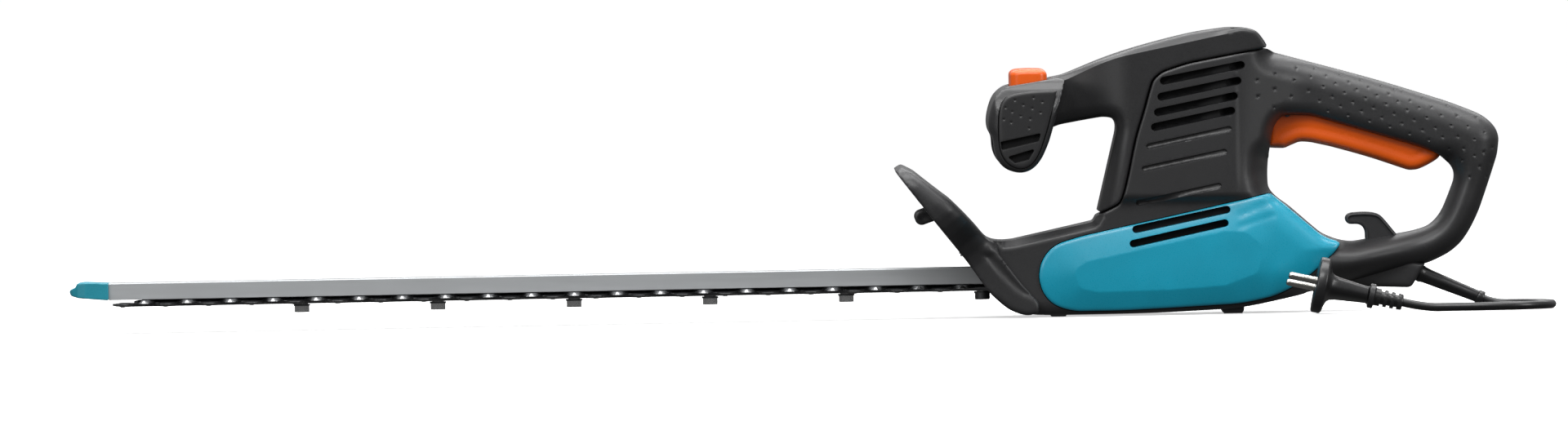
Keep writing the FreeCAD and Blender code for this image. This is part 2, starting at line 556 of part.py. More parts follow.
# outline seen from the front: narrow stem below, round corners above
for sgn in (-1, 1):
    guard.pocket("YZ", rounded([(sgn * 41.0, 30), (sgn * 100, 30), (sgn * 100, 60), (sgn * 80, 52), (sgn * 55.0, 46.0), (sgn * 41.0, 36.0)], [0, 0, 0, 8, 10, 0]),
                 200, at=50, back=True)
    guard.pocket("YZ", poly([(sgn * 100, 110), (sgn * 62, 110), (sgn * 62, 102.6), (sgn * 72, 99.0), (sgn * 79, 92.0), (sgn * 82.4, 82.0), (sgn * 100, 82.0)]),
                 100, at=50, back=True)
guard.pocket("YZ", rounded([(-33, 9.8), (33, 9.8), (33, 35.4), (-33, 35.4)], 3), 70, at=100, back=True)
# two round pegs on the front face
for sgn in (-1, 1):
    guard.pad("XZ", slot(91.2, 67.8, 104.0, 72.0, 5.9), 9, at=sgn * 34 - 4.5)
guard.pocket("YZ", [c for sgn in (-1, 1) for c in circ(sgn * 34, 45.5, 2.1)], 60, at=90, back=True)
PIECES.append(guard)
gs = Piece("guard_screws")
for sgn in (-1, 1):
    gs.revolve("XY", poly([(112.6, 0), (112.6, 3.9), (114.2, 3.9), (115.4, 2.0), (121.0, 2.0), (121.0, 0)]), "H_Axis", pos=(0, sgn * 34), at=45.5)
PIECES.append(gs)

# ---------------------------------------------------------------- blade
rail = Piece("guide_rail")
rail.pad("YZ", rounded([(-14, 22.6), (14, 22.6), (14, 33.1), (13.4, 33.7), (-13.4, 33.7), (-14, 33.1)], [0.4, 0.4, 0.2, 0.2, 0.2, 0.2]),
         "rail_end-rail_start", at="rail_start")
# hollow underside, open along the whole bar, with a post round each bolt
rail.pocket("YZ", rect(-11.2, 22.0, 11.2, 30.4), "rail_end-rail_start-8", at="rail_start+4", back=True)
f = rail.pad("XY", circ(S["bolt_first"], 0, 5.4), 8.2, at="rail_bottom")
rail.pattern([f], "bolt_count", "bolt_pitch")
rail.pad("XY", circ(180, 0, 5.4) + circ(202, 0, 5.4), 8.2, at="rail_bottom")
hole_c = [(S["bolt_first"] + S["bolt_pitch"] * i) for i in range(int(S["bolt_count"]))]
f = rail.pocket("XY", circ(S["bolt_first"], 0, "bolt_rad"), 30, at=40)
rail.pattern([f], "bolt_count", "bolt_pitch")
f = rail.revolve("XZ", poly([(0, 33.9), (5.1, 33.9), (2.5, 31.1), (0, 31.1)]), "V_Axis", pos=(S["bolt_first"], 0), cut=True)
rail.pattern([f], "bolt_count", "bolt_pitch")
rail.pocket("XY", circ(180, 0, 2.5) + circ(202, 0, 2.5), 30, at=40)
PIECES.append(rail)


def knife(name, z_e, first_e, sign_cam):
    p = Piece(name)
    x_first = S[first_e]
    cx = S["crank_x"]
    p.pad("XY", rect(x_first + 2, -S["spine_half"], cx - 12, S["spine_half"]), "knife_thick", at=z_e)
    r0, r1, y0, y1 = S["tooth_root"], S["tooth_tip"], S["spine_half"] - 1, S["tooth_reach"]
    teeth = []
    for s in (-1, 1):
        teeth += poly([(x_first - r0, s * y0), (x_first - r0 * 0.62, s * (y0 + 7)), (x_first - r1, s * (y1 - 1.2)), (x_first - r1 * 0.4, s * y1),
                       (x_first + r1 * 0.4, s * y1), (x_first + r1, s * (y1 - 1.2)), (x_first + r0 * 0.62, s * (y0 + 7)), (x_first + r0, s * y0)])
    f = p.pad("XY", teeth, "knife_thick", at=z_e)
    p.pattern([f], "tooth_count", "tooth_pitch")
    hx, hy = S["cam_rad"] + S["cam_gap_x"], S["cam_rad"] + S["stroke_half"] + S["cam_gap_y"]
    p.pad("XY", rounded([(cx - hx - 5.2, -hy - 4.2), (cx + hx + 5.2, -hy - 4.2), (cx + hx + 5.2, hy + 4.2), (cx - hx - 5.2, hy + 4.2)], 6),
          "knife_thick", at=z_e)
    p.pocket("XY", rounded([(cx - hx, -hy), (cx + hx, -hy), (cx + hx, hy), (cx - hx, hy)], 1.0), 20, at=30)
    k = S["stroke_half"] + 0.5
    f = p.pocket("XY", slot(S["bolt_first"] - k, 0, S["bolt_first"] + k, 0, S["slot_rad"]), 20, at=30)
    p.pattern([f], "bolt_count", "bolt_pitch")
    # pointed nose
    p.pad("XY", poly([(x_first + 3, -12.2), (x_first - 5.0, -4.0), (x_first - 7.9, 0), (x_first - 5.0, 4.0), (x_first + 3, 12.2)]), "knife_thick", at=z_e)
    return p


PIECES.append(knife("upper_knife", "upper_knife_z", "upper_first_tooth", 1))
PIECES.append(knife("lower_knife", "lower_knife_z", "lower_first_tooth", -1))


def row_of(name, make):
    p = Piece(name)
    f = make(p)
    p.pattern([f], "bolt_count", "bolt_pitch")
    return p


b1 = S["bolt_first"]
PIECES.append(row_of("blade_bolts", lambda p: p.revolve("XZ", poly([(0, 12.4), (2.2, 12.4), (2.5, 12.9), (2.5, 31.3), (4.55, 33.5), (0, 33.5)]), "V_Axis", pos=(b1, 0))))
PIECES.append(row_of("slide_bushes", lambda p: p.revolve("XZ", poly([(2.55, 17.4), (4.0, 17.4), (4.0, 22.6), (2.55, 22.6)]), "V_Axis", pos=(b1, 0))))
PIECES.append(row_of("blade_washers", lambda p: p.revolve("XZ", poly([(2.55, 16.2), (5.5, 16.2), (5.5, 17.1), (5.2, 17.4), (2.55, 17.4)]), "V_Axis", pos=(b1, 0))))
nuts = Piece("blade_nuts")
hexa = [(b1 + S["nut_flats"] / math.sqrt(3) * math.cos(math.radians(60 * i)), S["nut_flats"] / math.sqrt(3) * math.sin(math.radians(60 * i))) for i in range(6)]
f = nuts.pad("XY", poly(hexa) + circ(b1, 0, 2.55), "washer_bottom-nut_bottom", at="nut_bottom")
rowf = nuts._feature("LinearPattern", "row")
rowf.Originals = [f]
rowf.Direction = ([o for o in nuts.body.Origin.OriginFeatures if o.Role == "X_Axis"][0], [""])
rowf.Mode = "Spacing"
bind(rowf, "Offset", "bolt_pitch")
bind(rowf, "Occurrences", "bolt_count-1")
nuts.body.Tip = rowf
doc.recompute()
PIECES.append(nuts)
rn = Piece("rear_blade_nut")
x6 = b1 + 5 * S["bolt_pitch"]
rn.revolve("XZ", poly([(2.55, 12.0), (4.6, 12.0), (5.0, 12.6), (5.0, 16.2), (2.55, 16.2)]), "V_Axis", pos=(x6, 0))
PIECES.append(rn)
tip = Piece("tip_guard")
tip.pad("XZ", rounded([(-446.6, 33.7), (-446.6, 22.5), (-466.6, 24.3), (-471.4, 25.8), (-472.8, 27.6), (-472.4, 29.6), (-468.6, 31.2), (-467.2, 34.0), (-463.2, 34.5)],
                      [0, 0, 4, 2, 2, 1.4, 1, 1, 1]), 34, mid=True)
tip.pocket("XY", [g for k in (-1, 1) for g in poly([(-480, k * 20), (-462, k * 20), (-462, k * 17.01), (-467.0, k * 16.0), (-470.6, k * 13.6), (-472.9, k * 9.0), (-480, k * 9.0)])],
           30, at=40)
tip.pocket("YZ", circ(-8, 28.2, 1.8) + circ(8, 28.2, 1.8), 40, at=-480, back=True)
PIECES.append(tip)
ts = Piece("tip_screws")
for s in (-1, 1):
    ts.revolve("XZ", poly([(-470.5, 0), (-470.5, 1.7), (-446.8, 1.7), (-446.8, 0)]), "H_Axis", pos=(0, 28.2), at=s * 8)
PIECES.append(ts)

# ---------------------------------------------------------------- gearbox
cx, mx = S["crank_x"], S["motor_x"]
POSTS = [(174, -27.5), (174, 27.5), (292, -23), (292, 23)]
base = Piece("gear_base_plate")
base.pad("XY", rounded([(165, -32), (298, -32), (298, 32), (165, 32)], 4), 2.2, at=7.4)
base.pocket("XY", circ(cx, 0, 8.2), 10, at=15)
base.pocket("XY", [c for x, y in POSTS for c in circ(x, y, 1.6)], 10, at=15)
PIECES.append(base)
case = Piece("gear_case")
case.pad("XY", rounded([(160, -32), (299, -32), (299, 32), (160, 32)], 6), 9.0, at=34.2)
case.pad("XY", circ(mx, 0, 15), 9.5, at=43.2)
for x, y in POSTS:
    case.pad("XY", circ(x, y, 4), 24.7, at=9.6)
case.pocket("XY", circ(cx, 0, 8.2), 30, at=60)
case.pocket("XY", circ(mx, 0, 6.5), 40, at=60)
case.pocket("XY", circ(mx, 0, 11), 8.2, at=52.7)
case.pocket("XY", [c for x, y in POSTS for c in circ(x, y, 1.6)], 20, at=9.0, back=True)
case.pocket("XY", circ(180, 0, 2.1) + circ(202, 0, 2.1), 8.5, at=34.0, back=True)
# screws of the transverse joint enter the plate's side edges
PIECES.append(case)
gsc = Piece("gear_case_screws")
for x, y in POSTS:
    gsc.revolve("XZ", poly([(0, 5.2), (3.2, 5.2), (3.2, 7.4), (1.55, 7.4), (1.55, 22.0), (0, 22.0)]), "V_Axis", pos=(x, 0), at=-y)
PIECES.append(gsc)
rs = Piece("rail_screws")
for x in (180, 202):
    rs.revolve("XZ", poly([(0, 22.8), (2.4, 22.8), (2.4, 33.7), (2.05, 33.7), (2.05, 42.2), (0, 42.2)]), "V_Axis", pos=(x, 0))
PIECES.append(rs)
bushes = Piece("crank_bushes")
bushes.revolve("XZ", poly([(5.04, 7.4), (8.15, 7.4), (8.15, 12.5), (5.04, 12.5)]), "V_Axis", pos=(cx, 0))
bushes.revolve("XZ", poly([(5.04, 34.2), (8.15, 34.2), (8.15, 43.2), (5.04, 43.2)]), "V_Axis", pos=(cx, 0))
PIECES.append(bushes)
shaft = Piece("crank_shaft")
shaft.pad("XY", circ(cx, 0, "shaft_rad"), 35.4, at=7.6)
shaft.round_edges(lambda m, e: m.z < 7.7 or m.z > 42.9, 0.6, chamfer=True)
PIECES.append(shaft)


def gear(name, x, z, thick, teeth, module, bore, phase=0.0, hub=None):
    """Spur gear with trapezoid teeth."""
    p = Piece(name)
    rp = teeth * module / 2.0
    ro, ri = rp + module * 0.80, rp - module * 1.05
    pts = []
    for i in range(teeth):
        a = 2 * math.pi * i / teeth + phase
        w = 2 * math.pi / teeth
        for rr, da in ((ri, -0.31), (rp, -0.225), (ro, -0.10), (ro, 0.10), (rp, 0.225), (ri, 0.31)):
            pts.append((x + rr * math.cos(a + da * w), rr * math.sin(a + da * w)))
    p.pad("XY", poly(pts) + circ(x, 0, bore), thick, at=z)
    return p


big = gear("crank_gear", cx, "gear_z", "gear_thick", 50, 1.0, "shaft_rad", phase=math.pi / 50)
big.pocket("XY", [c for i in range(6) for c in circ(cx + 15 * math.cos(math.pi / 3 * i), 15 * math.sin(math.pi / 3 * i), 4)], 20, at=40)
PIECES.append(big)
for nm, ze, sgn in (("cam_upper", "upper_knife_z", 1), ("cam_lower", "lower_knife_z", -1)):
    c = Piece(nm)
    c.pad("XY", circ(cx, sgn * S["stroke_half"], "cam_rad") + circ(cx, 0, "shaft_rad"), "knife_thick", at=ze)
    PIECES.append(c)

# ---------------------------------------------------------------- motor
pin = gear("motor_pinion", mx, "gear_z", "gear_thick", 10, 1.0, "motor_shaft_rad-1", phase=0.0)
PIECES.append(pin)
ms = Piece("armature_shaft")
ms.revolve("XZ", poly([(0, 23.4), (3, 23.4), (3, 30.4), (4, 31.4), (4, 157.0), (0, 157.0)]), "V_Axis", pos=(mx, 0))
PIECES.append(ms)
core = Piece("armature_core")
core.pad("XY", circ(mx, 0, "armature_rad") + circ(mx, 0, "motor_shaft_rad"), "armature_len", at="armature_z")
core.pocket("XY", [g for i in range(12) for g in slot(mx + 15.0 * math.cos(math.pi / 6 * i), 15.0 * math.sin(math.pi / 6 * i),
                                                     mx + 20.5 * math.cos(math.pi / 6 * i), 20.5 * math.sin(math.pi / 6 * i), 1.2)], 60, at=120)
PIECES.append(core)
wind = Piece("armature_windings")
wind.revolve("XZ", poly([(4.0, 66.5), (13.0, 66.5), (16.6, 69.0), (16.6, 74.0), (4.0, 74.0)]), "V_Axis", pos=(mx, 0))
wind.revolve("XZ", poly([(4.0, 116.0), (16.6, 116.0), (16.6, 121.0), (12.0, 124.5), (4.0, 124.5)]), "V_Axis", pos=(mx, 0))
PIECES.append(wind)
com = Piece("commutator")
com.pad("XY", circ(mx, 0, "commutator_rad") + circ(mx, 0, "motor_shaft_rad"), 11, at=127.5)
com.pad("XY", circ(mx, 0, 12.4) + circ(mx, 0, "motor_shaft_rad"), 2, at=125.5)
PIECES.append(com)
fan = Piece("cooling_fan")
fan.pad("XY", circ(mx, 0, "fan_rad") + circ(mx, 0, "motor_shaft_rad"), 1.6, at=55.0)
fan.pad("XY", circ(mx, 0, 8) + circ(mx, 0, "motor_shaft_rad"), 8, at=56.6)
for i in range(9):
    a = math.radians(40 * i)
    c, s_ = math.cos(a), math.sin(a)
    q = [(9, -0.7), (25.5, 4.0), (25.5, 5.4), (9, 0.9)]
    fan.pad("XY", poly([(mx + x * c - y * s_, x * s_ + y * c) for x, y in q]), 7.6, at=56.6)
PIECES.append(fan)
stator = Piece("stator_core")
stator.pad("XY", circ(mx, 0, "stator_rad") + circ(mx, 0, "stator_bore"), "armature_len+4", at="armature_z-2")
PIECES.append(stator)
coils = Piece("field_coils")
for z in (64.5, 118.2):
    for a0 in (20, 200):
        r0, r1 = 21.5, 29.0
        A0, A1 = math.radians(a0), math.radians(a0 + 140)
        geo = [Part.ArcOfCircle(Part.Circle(V(mx, 0, 0), V(0, 0, 1), r0), A0, A1), Part.ArcOfCircle(Part.Circle(V(mx, 0, 0), V(0, 0, 1), r1), A0, A1)]
        for A in (A0, A1):
            geo.append(Part.LineSegment(V(mx + r0 * math.cos(A), r0 * math.sin(A), 0), V(mx + r1 * math.cos(A), r1 * math.sin(A), 0)))
        coils.pad("XY", geo, 7.3, at=z)
PIECES.append(coils)
brg = Piece("motor_bearings")
for z in (44.6, 148.0):
    brg.revolve("XZ", poly([(4.04, z), (10.95, z), (10.95, z + 7), (4.04, z + 7)]), "V_Axis", pos=(mx, 0))
PIECES.append(brg)
mb = Piece("motor_bracket")
mb.pad("XY", rounded([(mx - 26, -34), (mx + 30, -34), (mx + 30, 34), (mx - 26, 34)], 6) + circ(mx, 0, 6), 3, at=144.8)
mb.pad("XY", circ(mx, 0, 14) + circ(mx, 0, 11), 7.4, at=147.8)
PIECES.append(mb)
bh = Piece("brush_holders")
br = Piece("carbon_brushes")
for s in (-1, 1):
    bh.pad("XZ", rect(mx - 4.6, 128.6, mx + 4.6, 137.4) + rect(mx - 3.3, 130.0, mx + 3.3, 136.0), 16, at=13.5 * s if s > 0 else -29.5)
    br.pad("XZ", rect(mx - 3.25, 130.05, mx + 3.25, 135.95), 12, at=12.0 if s > 0 else -24.0)
PIECES += [bh, br]

# ---------------------------------------------------------------- rear trigger and main switch
TRIG = [(325.0, 109.6), (331.1, 108.4), (336.0, 110.2), (341.4, 112.2), (345.7, 112.3), (351.2, 111.5), (365.1, 108.1), (388.6, 101.0), (412.3, 92.7),
        (417.2, 92.4), (421.0, 93.2), (427.0, 95.9), (431.2, 98.6), (431.0, 105.4), (414.0, 114.6), (356.0, 132.3), (346.0, 135.4), (334.0, 137.0),
        (327.2, 134.6), (325.4, 122.0)]
trig = Piece("rear_trigger")


def loft_mid(p, outline, h, flat, mid, top):
    both_ways(p, outline, h, flat, mid, top)


both_ways(trig, TRIG, "trigger_half", 3, 0.5, 1.6)
trig.pocket("XZ", circ(S["trigger_x"], S["trigger_z"], "trigger_pin_rad+0.06"), 40, mid=True)
PIECES.append(trig)
tp = Piece("trigger_pin")
tp.pad("XZ", circ(S["trigger_x"], S["trigger_z"], "trigger_pin_rad"), 27, mid=True)
PIECES.append(tp)
PIECES.append(spring("trigger_spring", 405, 0, 119.4, 139.2, 3.8, 0.5, 7))
sw = Piece("main_switch")
sw.pad("XZ", rect(375.5, 130.5, 399, 143.2), 18, mid=True)
sw.pocket("XY", circ(385, 0, 2.1), 12, at=129, back=True)
sw.pad("XZ", rect(377.5, 143.2, 382.5, 146.6), 12, mid=True)
PIECES.append(sw)
pl = Piece("main_plunger")
pl.pad("XY", circ(385, 0, 2.04), 9.5, at=124.7)
PIECES.append(pl)
cap = Piece("noise_capacitor")
cap.pad("XZ", rounded([(339, 141), (360, 141), (360, 153), (339, 153)], 1.5), 16, mid=True)
PIECES.append(cap)

# ---------------------------------------------------------------- cable hook inside the loop
HOOK = [(404.6, 49.9), (403.1, 52.4), (396.4, 60.7), (392.3, 64.0), (385.3, 65.2), (376.4, 65.0), (373.4, 64.3), (371.7, 62.8), (371.2, 61.0), (371.8, 59.0),
        (373.6, 57.5), (379.2, 57.2), (382.4, 55.6), (384.0, 52.6), (384.4, 47.0), (386.0, 40.5), (403.0, 43.0)]
hook = Piece("cable_hook")
both_ways(hook, HOOK, "hook_half", 3, 0.5, 1.5)
PIECES.append(hook)

# cable clamp inside the tail
clamp = Piece("cord_clamp")
clamp.pad("XZ", rect(390, 31.5, 402, 34.5), 17, mid=True)
PIECES.append(clamp)
cs = Piece("clamp_screws")
for s in (-1, 1):
    cs.pad("XY", circ(396, s * 6.4, 1.4), 3.0, at=28.5)
    cs.pad("XY", circ(396, s * 6.4, 2.6), 1.8, at=34.5)
PIECES.append(cs)
hs = Piece("housing_screws")
for x, z in SCREWS:
    hs.revolve("XY", poly([(0, -10.5), (1.7, -10.5), (1.7, 13.0), (3.6, 13.0), (3.6, 15.0), (2.8, 15.6), (0, 15.6)]), "V_Axis", pos=(x, 0), at=z)
PIECES.append(hs)

# ---------------------------------------------------------------- strain relief, cord, plug
ang = math.radians(S["sleeve_angle"])
slv = Piece("strain_relief")
L = S["sleeve_len"]
prof = [(-10.5, 0), (-10.5, 5.4), (0.4, 5.5)]
n_r = 7
for i in range(n_r):
    x = 2.0 + i * 5.6
    r_here = 5.6 - (5.6 - 4.0) * x / L
    prof += [(x, r_here), (x + 3.6, r_here - 0.12), (x + 3.9, r_here - 0.8), (x + 5.3, r_here - 0.85)]
prof += [(L - 4.2, 4.0), (L - 3.6, 4.65), (L - 0.4, 4.65), (L, 4.3), (L, 0)]
slv.revolve("XZ", poly(prof), "H_Axis")
slv.body.Placement = FreeCAD.Placement(V(S["exit_x"], 0, S["exit_z"]), FreeCAD.Rotation(V(0, 1, 0), S["sleeve_angle"]))
slv.body.setExpression(".Placement.Base.x", "Sizes.exit_x")
slv.body.setExpression(".Placement.Base.z", "Sizes.exit_z")
PIECES.append(slv)

e_x, e_z = S["exit_x"] + L * math.cos(ang), S["exit_z"] - L * math.sin(ang)
lie = S["cord_rad"] + 0.25
p1 = V(e_x + (e_z - lie) / math.tan(ang), 0, lie)
route = [V(e_x, 0, e_z), p1]
heads = [(-6, 14.5), (-36, 20.5), (-71, 21.5), (-107, 21.5), (-143, 21.5), (-174, 23.5), (-184, 24.0), (-179, 15.5)]
for a, d in heads:
    a = math.radians(a)
    route.append(route[-1] + V(d * math.cos(a), d * math.sin(a), 0))
tilt = math.radians(S["plug_tilt"])
flange_c = S["plug_flange_rad"] * math.cos(tilt) + 0.3
BOOT = 52.2
z_end = flange_c - BOOT * math.sin(tilt)
run = (z_end - lie) / math.sin(tilt)
last_a = math.radians(-180)
route.append(route[-1] + V(run * math.cos(tilt) * math.cos(last_a), run * math.cos(tilt) * math.sin(last_a), run * math.sin(tilt)))
ROUTE = route


def cord_wire(pts):
    edges, cur, radii, length = [], pts[0], [], 0.0
    for i in range(1, len(pts) - 1):
        a, p, b = pts[i - 1], pts[i], pts[i + 1]
        u, w = (a - p).normalize(), (b - p).normalize()
        turn = math.pi - u.getAngle(w)
        short = min((a - p).Length, (b - p).Length)
        d = 0.45 * short
        r = d / math.tan(turn / 2)
        s, e = p + u * d, p + w * d
        c = p + (u + w).normalize() * (r / math.cos(turn / 2))
        m = c + (p - c).normalize() * r
        edges += [Part.LineSegment(cur, s).toShape(), Part.Arc(s, m, e).toShape()]
        length += (s - cur).Length + r * turn
        radii.append(round(r, 1))
        cur = e
    edges.append(Part.LineSegment(cur, pts[-1]).toShape())
    length += (pts[-1] - cur).Length
    return Part.Wire(edges), length, radii


wire, cord_len, radii = cord_wire(ROUTE)
first_dir = (ROUTE[1] - ROUTE[0]).normalize()
prof_w = Part.Wire([Part.Circle(ROUTE[0], first_dir, S["cord_rad"]).toShape()])
tube = wire.makePipeShell([prof_w], True, True)
cord = doc.addObject("Part::Feature", "mains_cord")
cord.Label = "mains_cord"
cord.Shape = tube
cord.Placement = FreeCAD.Placement()
print("cord length %.1f mm, radii %s" % (cord_len, radii))
print("cord volume %.1f, section x length %.1f" % (cord.Shape.Volume, math.pi * S["cord_rad"] ** 2 * cord_len))
print("cord route", [tuple(round(c, 2) for c in p) for p in ROUTE])
if abs(cord.Shape.Volume / (math.pi * S["cord_rad"] ** 2 * cord_len) - 1) > 0.01:
    raise RuntimeError("cord volume is off")

# the plug is drawn on its own axis: +X from the boot's end towards the pins, then turned and laid down
end = ROUTE[-1]
plug = Piece("plug_body")
plug.revolve("XZ", poly([(0, 0), (0, 4.9), (0.6, 5.3), (18.4, 5.9), (19.2, 8.2), (22.4, 8.2), (23.2, 6.8), (24.0, 6.8), (24.0, 0)]), "H_Axis")
plug.loft("YZ", [(23.6, [(-8.5, -5), (8.5, -5), (9.5, 0), (8.5, 5), (-8.5, 5), (-9.5, 0)]), (44.0, [(-11, -6.5), (11, -6.5), (12.5, 0), (11, 6.5), (-11, 6.5), (-12.5, 0)]),
                 (52.5, [(-12, -9), (12, -9), (15, 0), (12, 9), (-12, 9), (-15, 0)])])
plug.revolve("XZ", poly([(46.0, 0), (46.0, 9.0), (51.0, 18.0), (52.2, 18.5), (57.6, 18.5), (58.4, 17.4), (58.4, 0)]), "H_Axis")
for z in (4.6, -4.6):
    plug.pocket("XZ", [g for k in range(3) for g in rect(3.4 + 4.6 * k, min(z, z * 1.6), 5.6 + 4.6 * k, max(z, z * 1.6))], 30, mid=True)
pp = Piece("plug_pins")
for s in (-1, 1):
    pp.revolve("XY", poly([(58.4, 0), (58.4, 2.4), (76.0, 2.4), (77.4, 1.4), (77.4, 0)]), "H_Axis", pos=(0, s * S["pin_apart"] / 2))
plug.pocket("YZ", circ(-9.5, 0, 1.0) + circ(9.5, 0, 1.0), 1.0, at=58.4)
lay = FreeCAD.Rotation(V(0, 0, 1), 180).multiply(FreeCAD.Rotation(V(0, 1, 0), -S["plug_tilt"])).multiply(FreeCAD.Rotation(V(1, 0, 0), S["plug_roll"]))
for q in (plug, pp):
    q.body.Placement = FreeCAD.Placement(end, lay)
PIECES += [plug, pp]

# ---------------------------------------------------------------- checks and export
doc.recompute()
for o in doc.Objects:
    if "Invalid" in o.State or "Error" in o.State:
        raise RuntimeError("failed object %s %s" % (o.Name, o.State))
shapes = {}
for p in PIECES:
    shapes[p.name] = p.body.Shape
shapes["mains_cord"] = cord.Shape
for name in shapes:
    sh = shapes[name]
    if sh.isNull() or not sh.isValid() or sh.Volume <= 0:
        raise RuntimeError("bad shape " + name)
for name in shapes:
    shapes[name].exportStep("parts/%s.step" % name)
box = FreeCAD.BoundBox()
for name in shapes:
    box.add(shapes[name].BoundBox)
print("%d nodes, box %.1f..%.1f  %.1f..%.1f  %.1f..%.1f" % (len(shapes), box.XMin, box.XMax, box.YMin, box.YMax, box.ZMin, box.ZMax))
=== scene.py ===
import json
import math
import random

import bmesh
import bpy
import numpy as np
from mathutils import Matrix, Vector
from mathutils.geometry import delaunay_2d_cdt


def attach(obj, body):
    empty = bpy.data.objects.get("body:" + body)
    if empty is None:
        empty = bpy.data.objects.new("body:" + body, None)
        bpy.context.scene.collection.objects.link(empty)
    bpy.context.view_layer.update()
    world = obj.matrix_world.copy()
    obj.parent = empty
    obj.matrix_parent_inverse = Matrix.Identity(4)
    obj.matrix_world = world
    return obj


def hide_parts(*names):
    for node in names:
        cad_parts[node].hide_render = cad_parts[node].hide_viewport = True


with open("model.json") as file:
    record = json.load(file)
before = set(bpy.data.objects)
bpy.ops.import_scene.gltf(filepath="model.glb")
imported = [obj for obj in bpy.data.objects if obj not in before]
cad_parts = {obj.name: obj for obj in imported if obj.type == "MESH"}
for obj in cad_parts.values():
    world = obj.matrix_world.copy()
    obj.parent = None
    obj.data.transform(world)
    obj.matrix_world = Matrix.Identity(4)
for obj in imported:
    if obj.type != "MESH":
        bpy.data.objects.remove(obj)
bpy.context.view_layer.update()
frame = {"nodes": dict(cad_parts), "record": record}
NODES = frame["nodes"]
scene = bpy.context.scene
random.seed(7)

# ------------------------------------------------------------------ outlines, millimetres, side view (x, z)
GROOVE = [(209.6, 67.7), (220.9, 73.4), (224.5, 79.5), (228.0, 92.5), (233.3, 116.1), (239.0, 134.4), (244.8, 153.4),
          (249.1, 158.5), (254.9, 161.5), (272.0, 166.4), (319.6, 174.6)]
GRIP_TOP = [(326.3, 171.8), (389.7, 153.7), (435.9, 138.8), (450.9, 133.1), (461.1, 128.6), (466.9, 124.5), (470.9, 120.0),
            (473.0, 115.5), (473.5, 110.5), (471.7, 99.5), (461.3, 69.4), (455.6, 56.6), (448.9, 45.9), (441.7, 39.0),
            (433.6, 34.3), (423.1, 30.2)]
BOTTOM = [(366.7, 17.2), (323.7, 8.3), (305.4, 4.9), (285.9, 3.1), (237.2, 1.6), (187.5, 1.4), (166.0, 1.8), (157.5, 3.6),
          (151.5, 7.6)]
NOSE = [(139.6, 20.4), (131.0, 32.4), (127.0, 42.6), (130.0, 50.2), (135.4, 51.6), (141.4, 51.0), (146.4, 51.0), (152.2, 51.6),
        (203.6, 62.5), (206.6, 66.4)]
LOOP = [(328.5, 128.0), (333.0, 130.2), (347.7, 130.0), (355.2, 128.2), (414.8, 109.8), (432.0, 103.2), (438.9, 97.8),
        (442.4, 93.2), (443.4, 88.6), (442.4, 83.3), (436.7, 69.3), (433.4, 63.3), (429.3, 58.5), (424.1, 55.0), (415.7, 52.5),
        (405.6, 50.7), (385.0, 47.6), (375.8, 46.3), (368.6, 47.0), (360.9, 49.4), (353.2, 53.6), (334.1, 70.4), (326.8, 75.9),
        (322.4, 80.4), (320.5, 85.0), (320.5, 95.8), (321.9, 108.8), (324.5, 121.6)]
WHOLE = NOSE + GROOVE + GRIP_TOP + BOTTOM
PANEL = [(317.8, 78.9), (320.6, 79.3), (323.0, 78.3), (333.6, 69.4), (352.7, 52.9), (358.6, 49.2), (364.8, 47.0), (366.6, 45.4),
         (365.8, 43.4), (361.4, 38.2), (347.1, 25.6), (335.3, 17.6), (327.1, 13.4), (318.4, 10.4), (304.0, 7.6), (291.9, 6.4),
         (230.8, 3.9), (195.2, 3.7), (186.0, 5.0), (179.0, 7.6), (173.9, 11.4), (170.0, 17.0), (167.9, 23.6), (167.6, 28.5),
         (168.6, 34.6), (171.2, 40.2), (175.0, 44.8), (179.3, 47.9), (184.2, 50.1), (199.4, 54.2), (261.1, 66.9)]
FACET = [(190.5, 30.8), (199.3, 36.5), (291.0, 55.0), (305.0, 53.9), (313.5, 46.5), (314.6, 36.5), (311.5, 27.0), (289.8, 19.2), (257.6, 17.2), (206.4, 16.5),
         (194.6, 18.9)]
GLAND = [(360.0, 16.0), (411.9, 14.9), (414.8, 16.6), (423.1, 30.4), (400.0, 34.0), (366.0, 24.0)]
SCREWS = [(180.0, 47.2), (300.0, 13.5), (214.6, 65.6), (312.5, 90.0), (313.5, 163.0), (453.5, 121.5), (450.0, 72.0), (382.0, 36.5), (337.0, 60.0)]
FEET = [(174.0, 186.5), (288.0, 303.0)]
TOWER_SLOTS = [((252.1, 154.8), (303.0, 164.2)), ((250.3, 144.3), (300.6, 153.9)), ((247.9, 134.1), (297.9, 143.8)),
               ((245.7, 124.4), (296.1, 134.2))]
TOWER_GROOVES = [((241.5, 111.7), (294.4, 122.2)), ((238.3, 96.9), (291.1, 107.2)), ((234.2, 74.4), (287.0, 84.9))]
VENTS = [((232.1, 57.2), (292.0, 69.1)), ((230.1, 47.8), (290.6, 60.3))]
ARM = [(178.4, 125.2), (184.7, 127.2), (209.3, 131.4), (215.8, 131.2), (219.2, 129.2), (220.5, 125.6), (219.9, 119.9), (207.4, 69.8),
       (209.2, 68.7), (220.2, 74.2), (223.7, 80.0), (227.1, 92.8), (232.4, 116.4), (238.1, 134.7), (243.9, 154.0), (248.5, 159.3),
       (254.6, 162.5), (271.8, 167.4), (319.6, 175.6), (320.2, 177.4), (317.7, 181.6), (314.6, 185.6), (311.2, 187.6), (304.5, 188.7),
       (293.1, 188.7), (269.6, 185.4), (238.1, 177.9), (213.0, 170.2), (187.3, 160.4), (178.4, 158.3)]
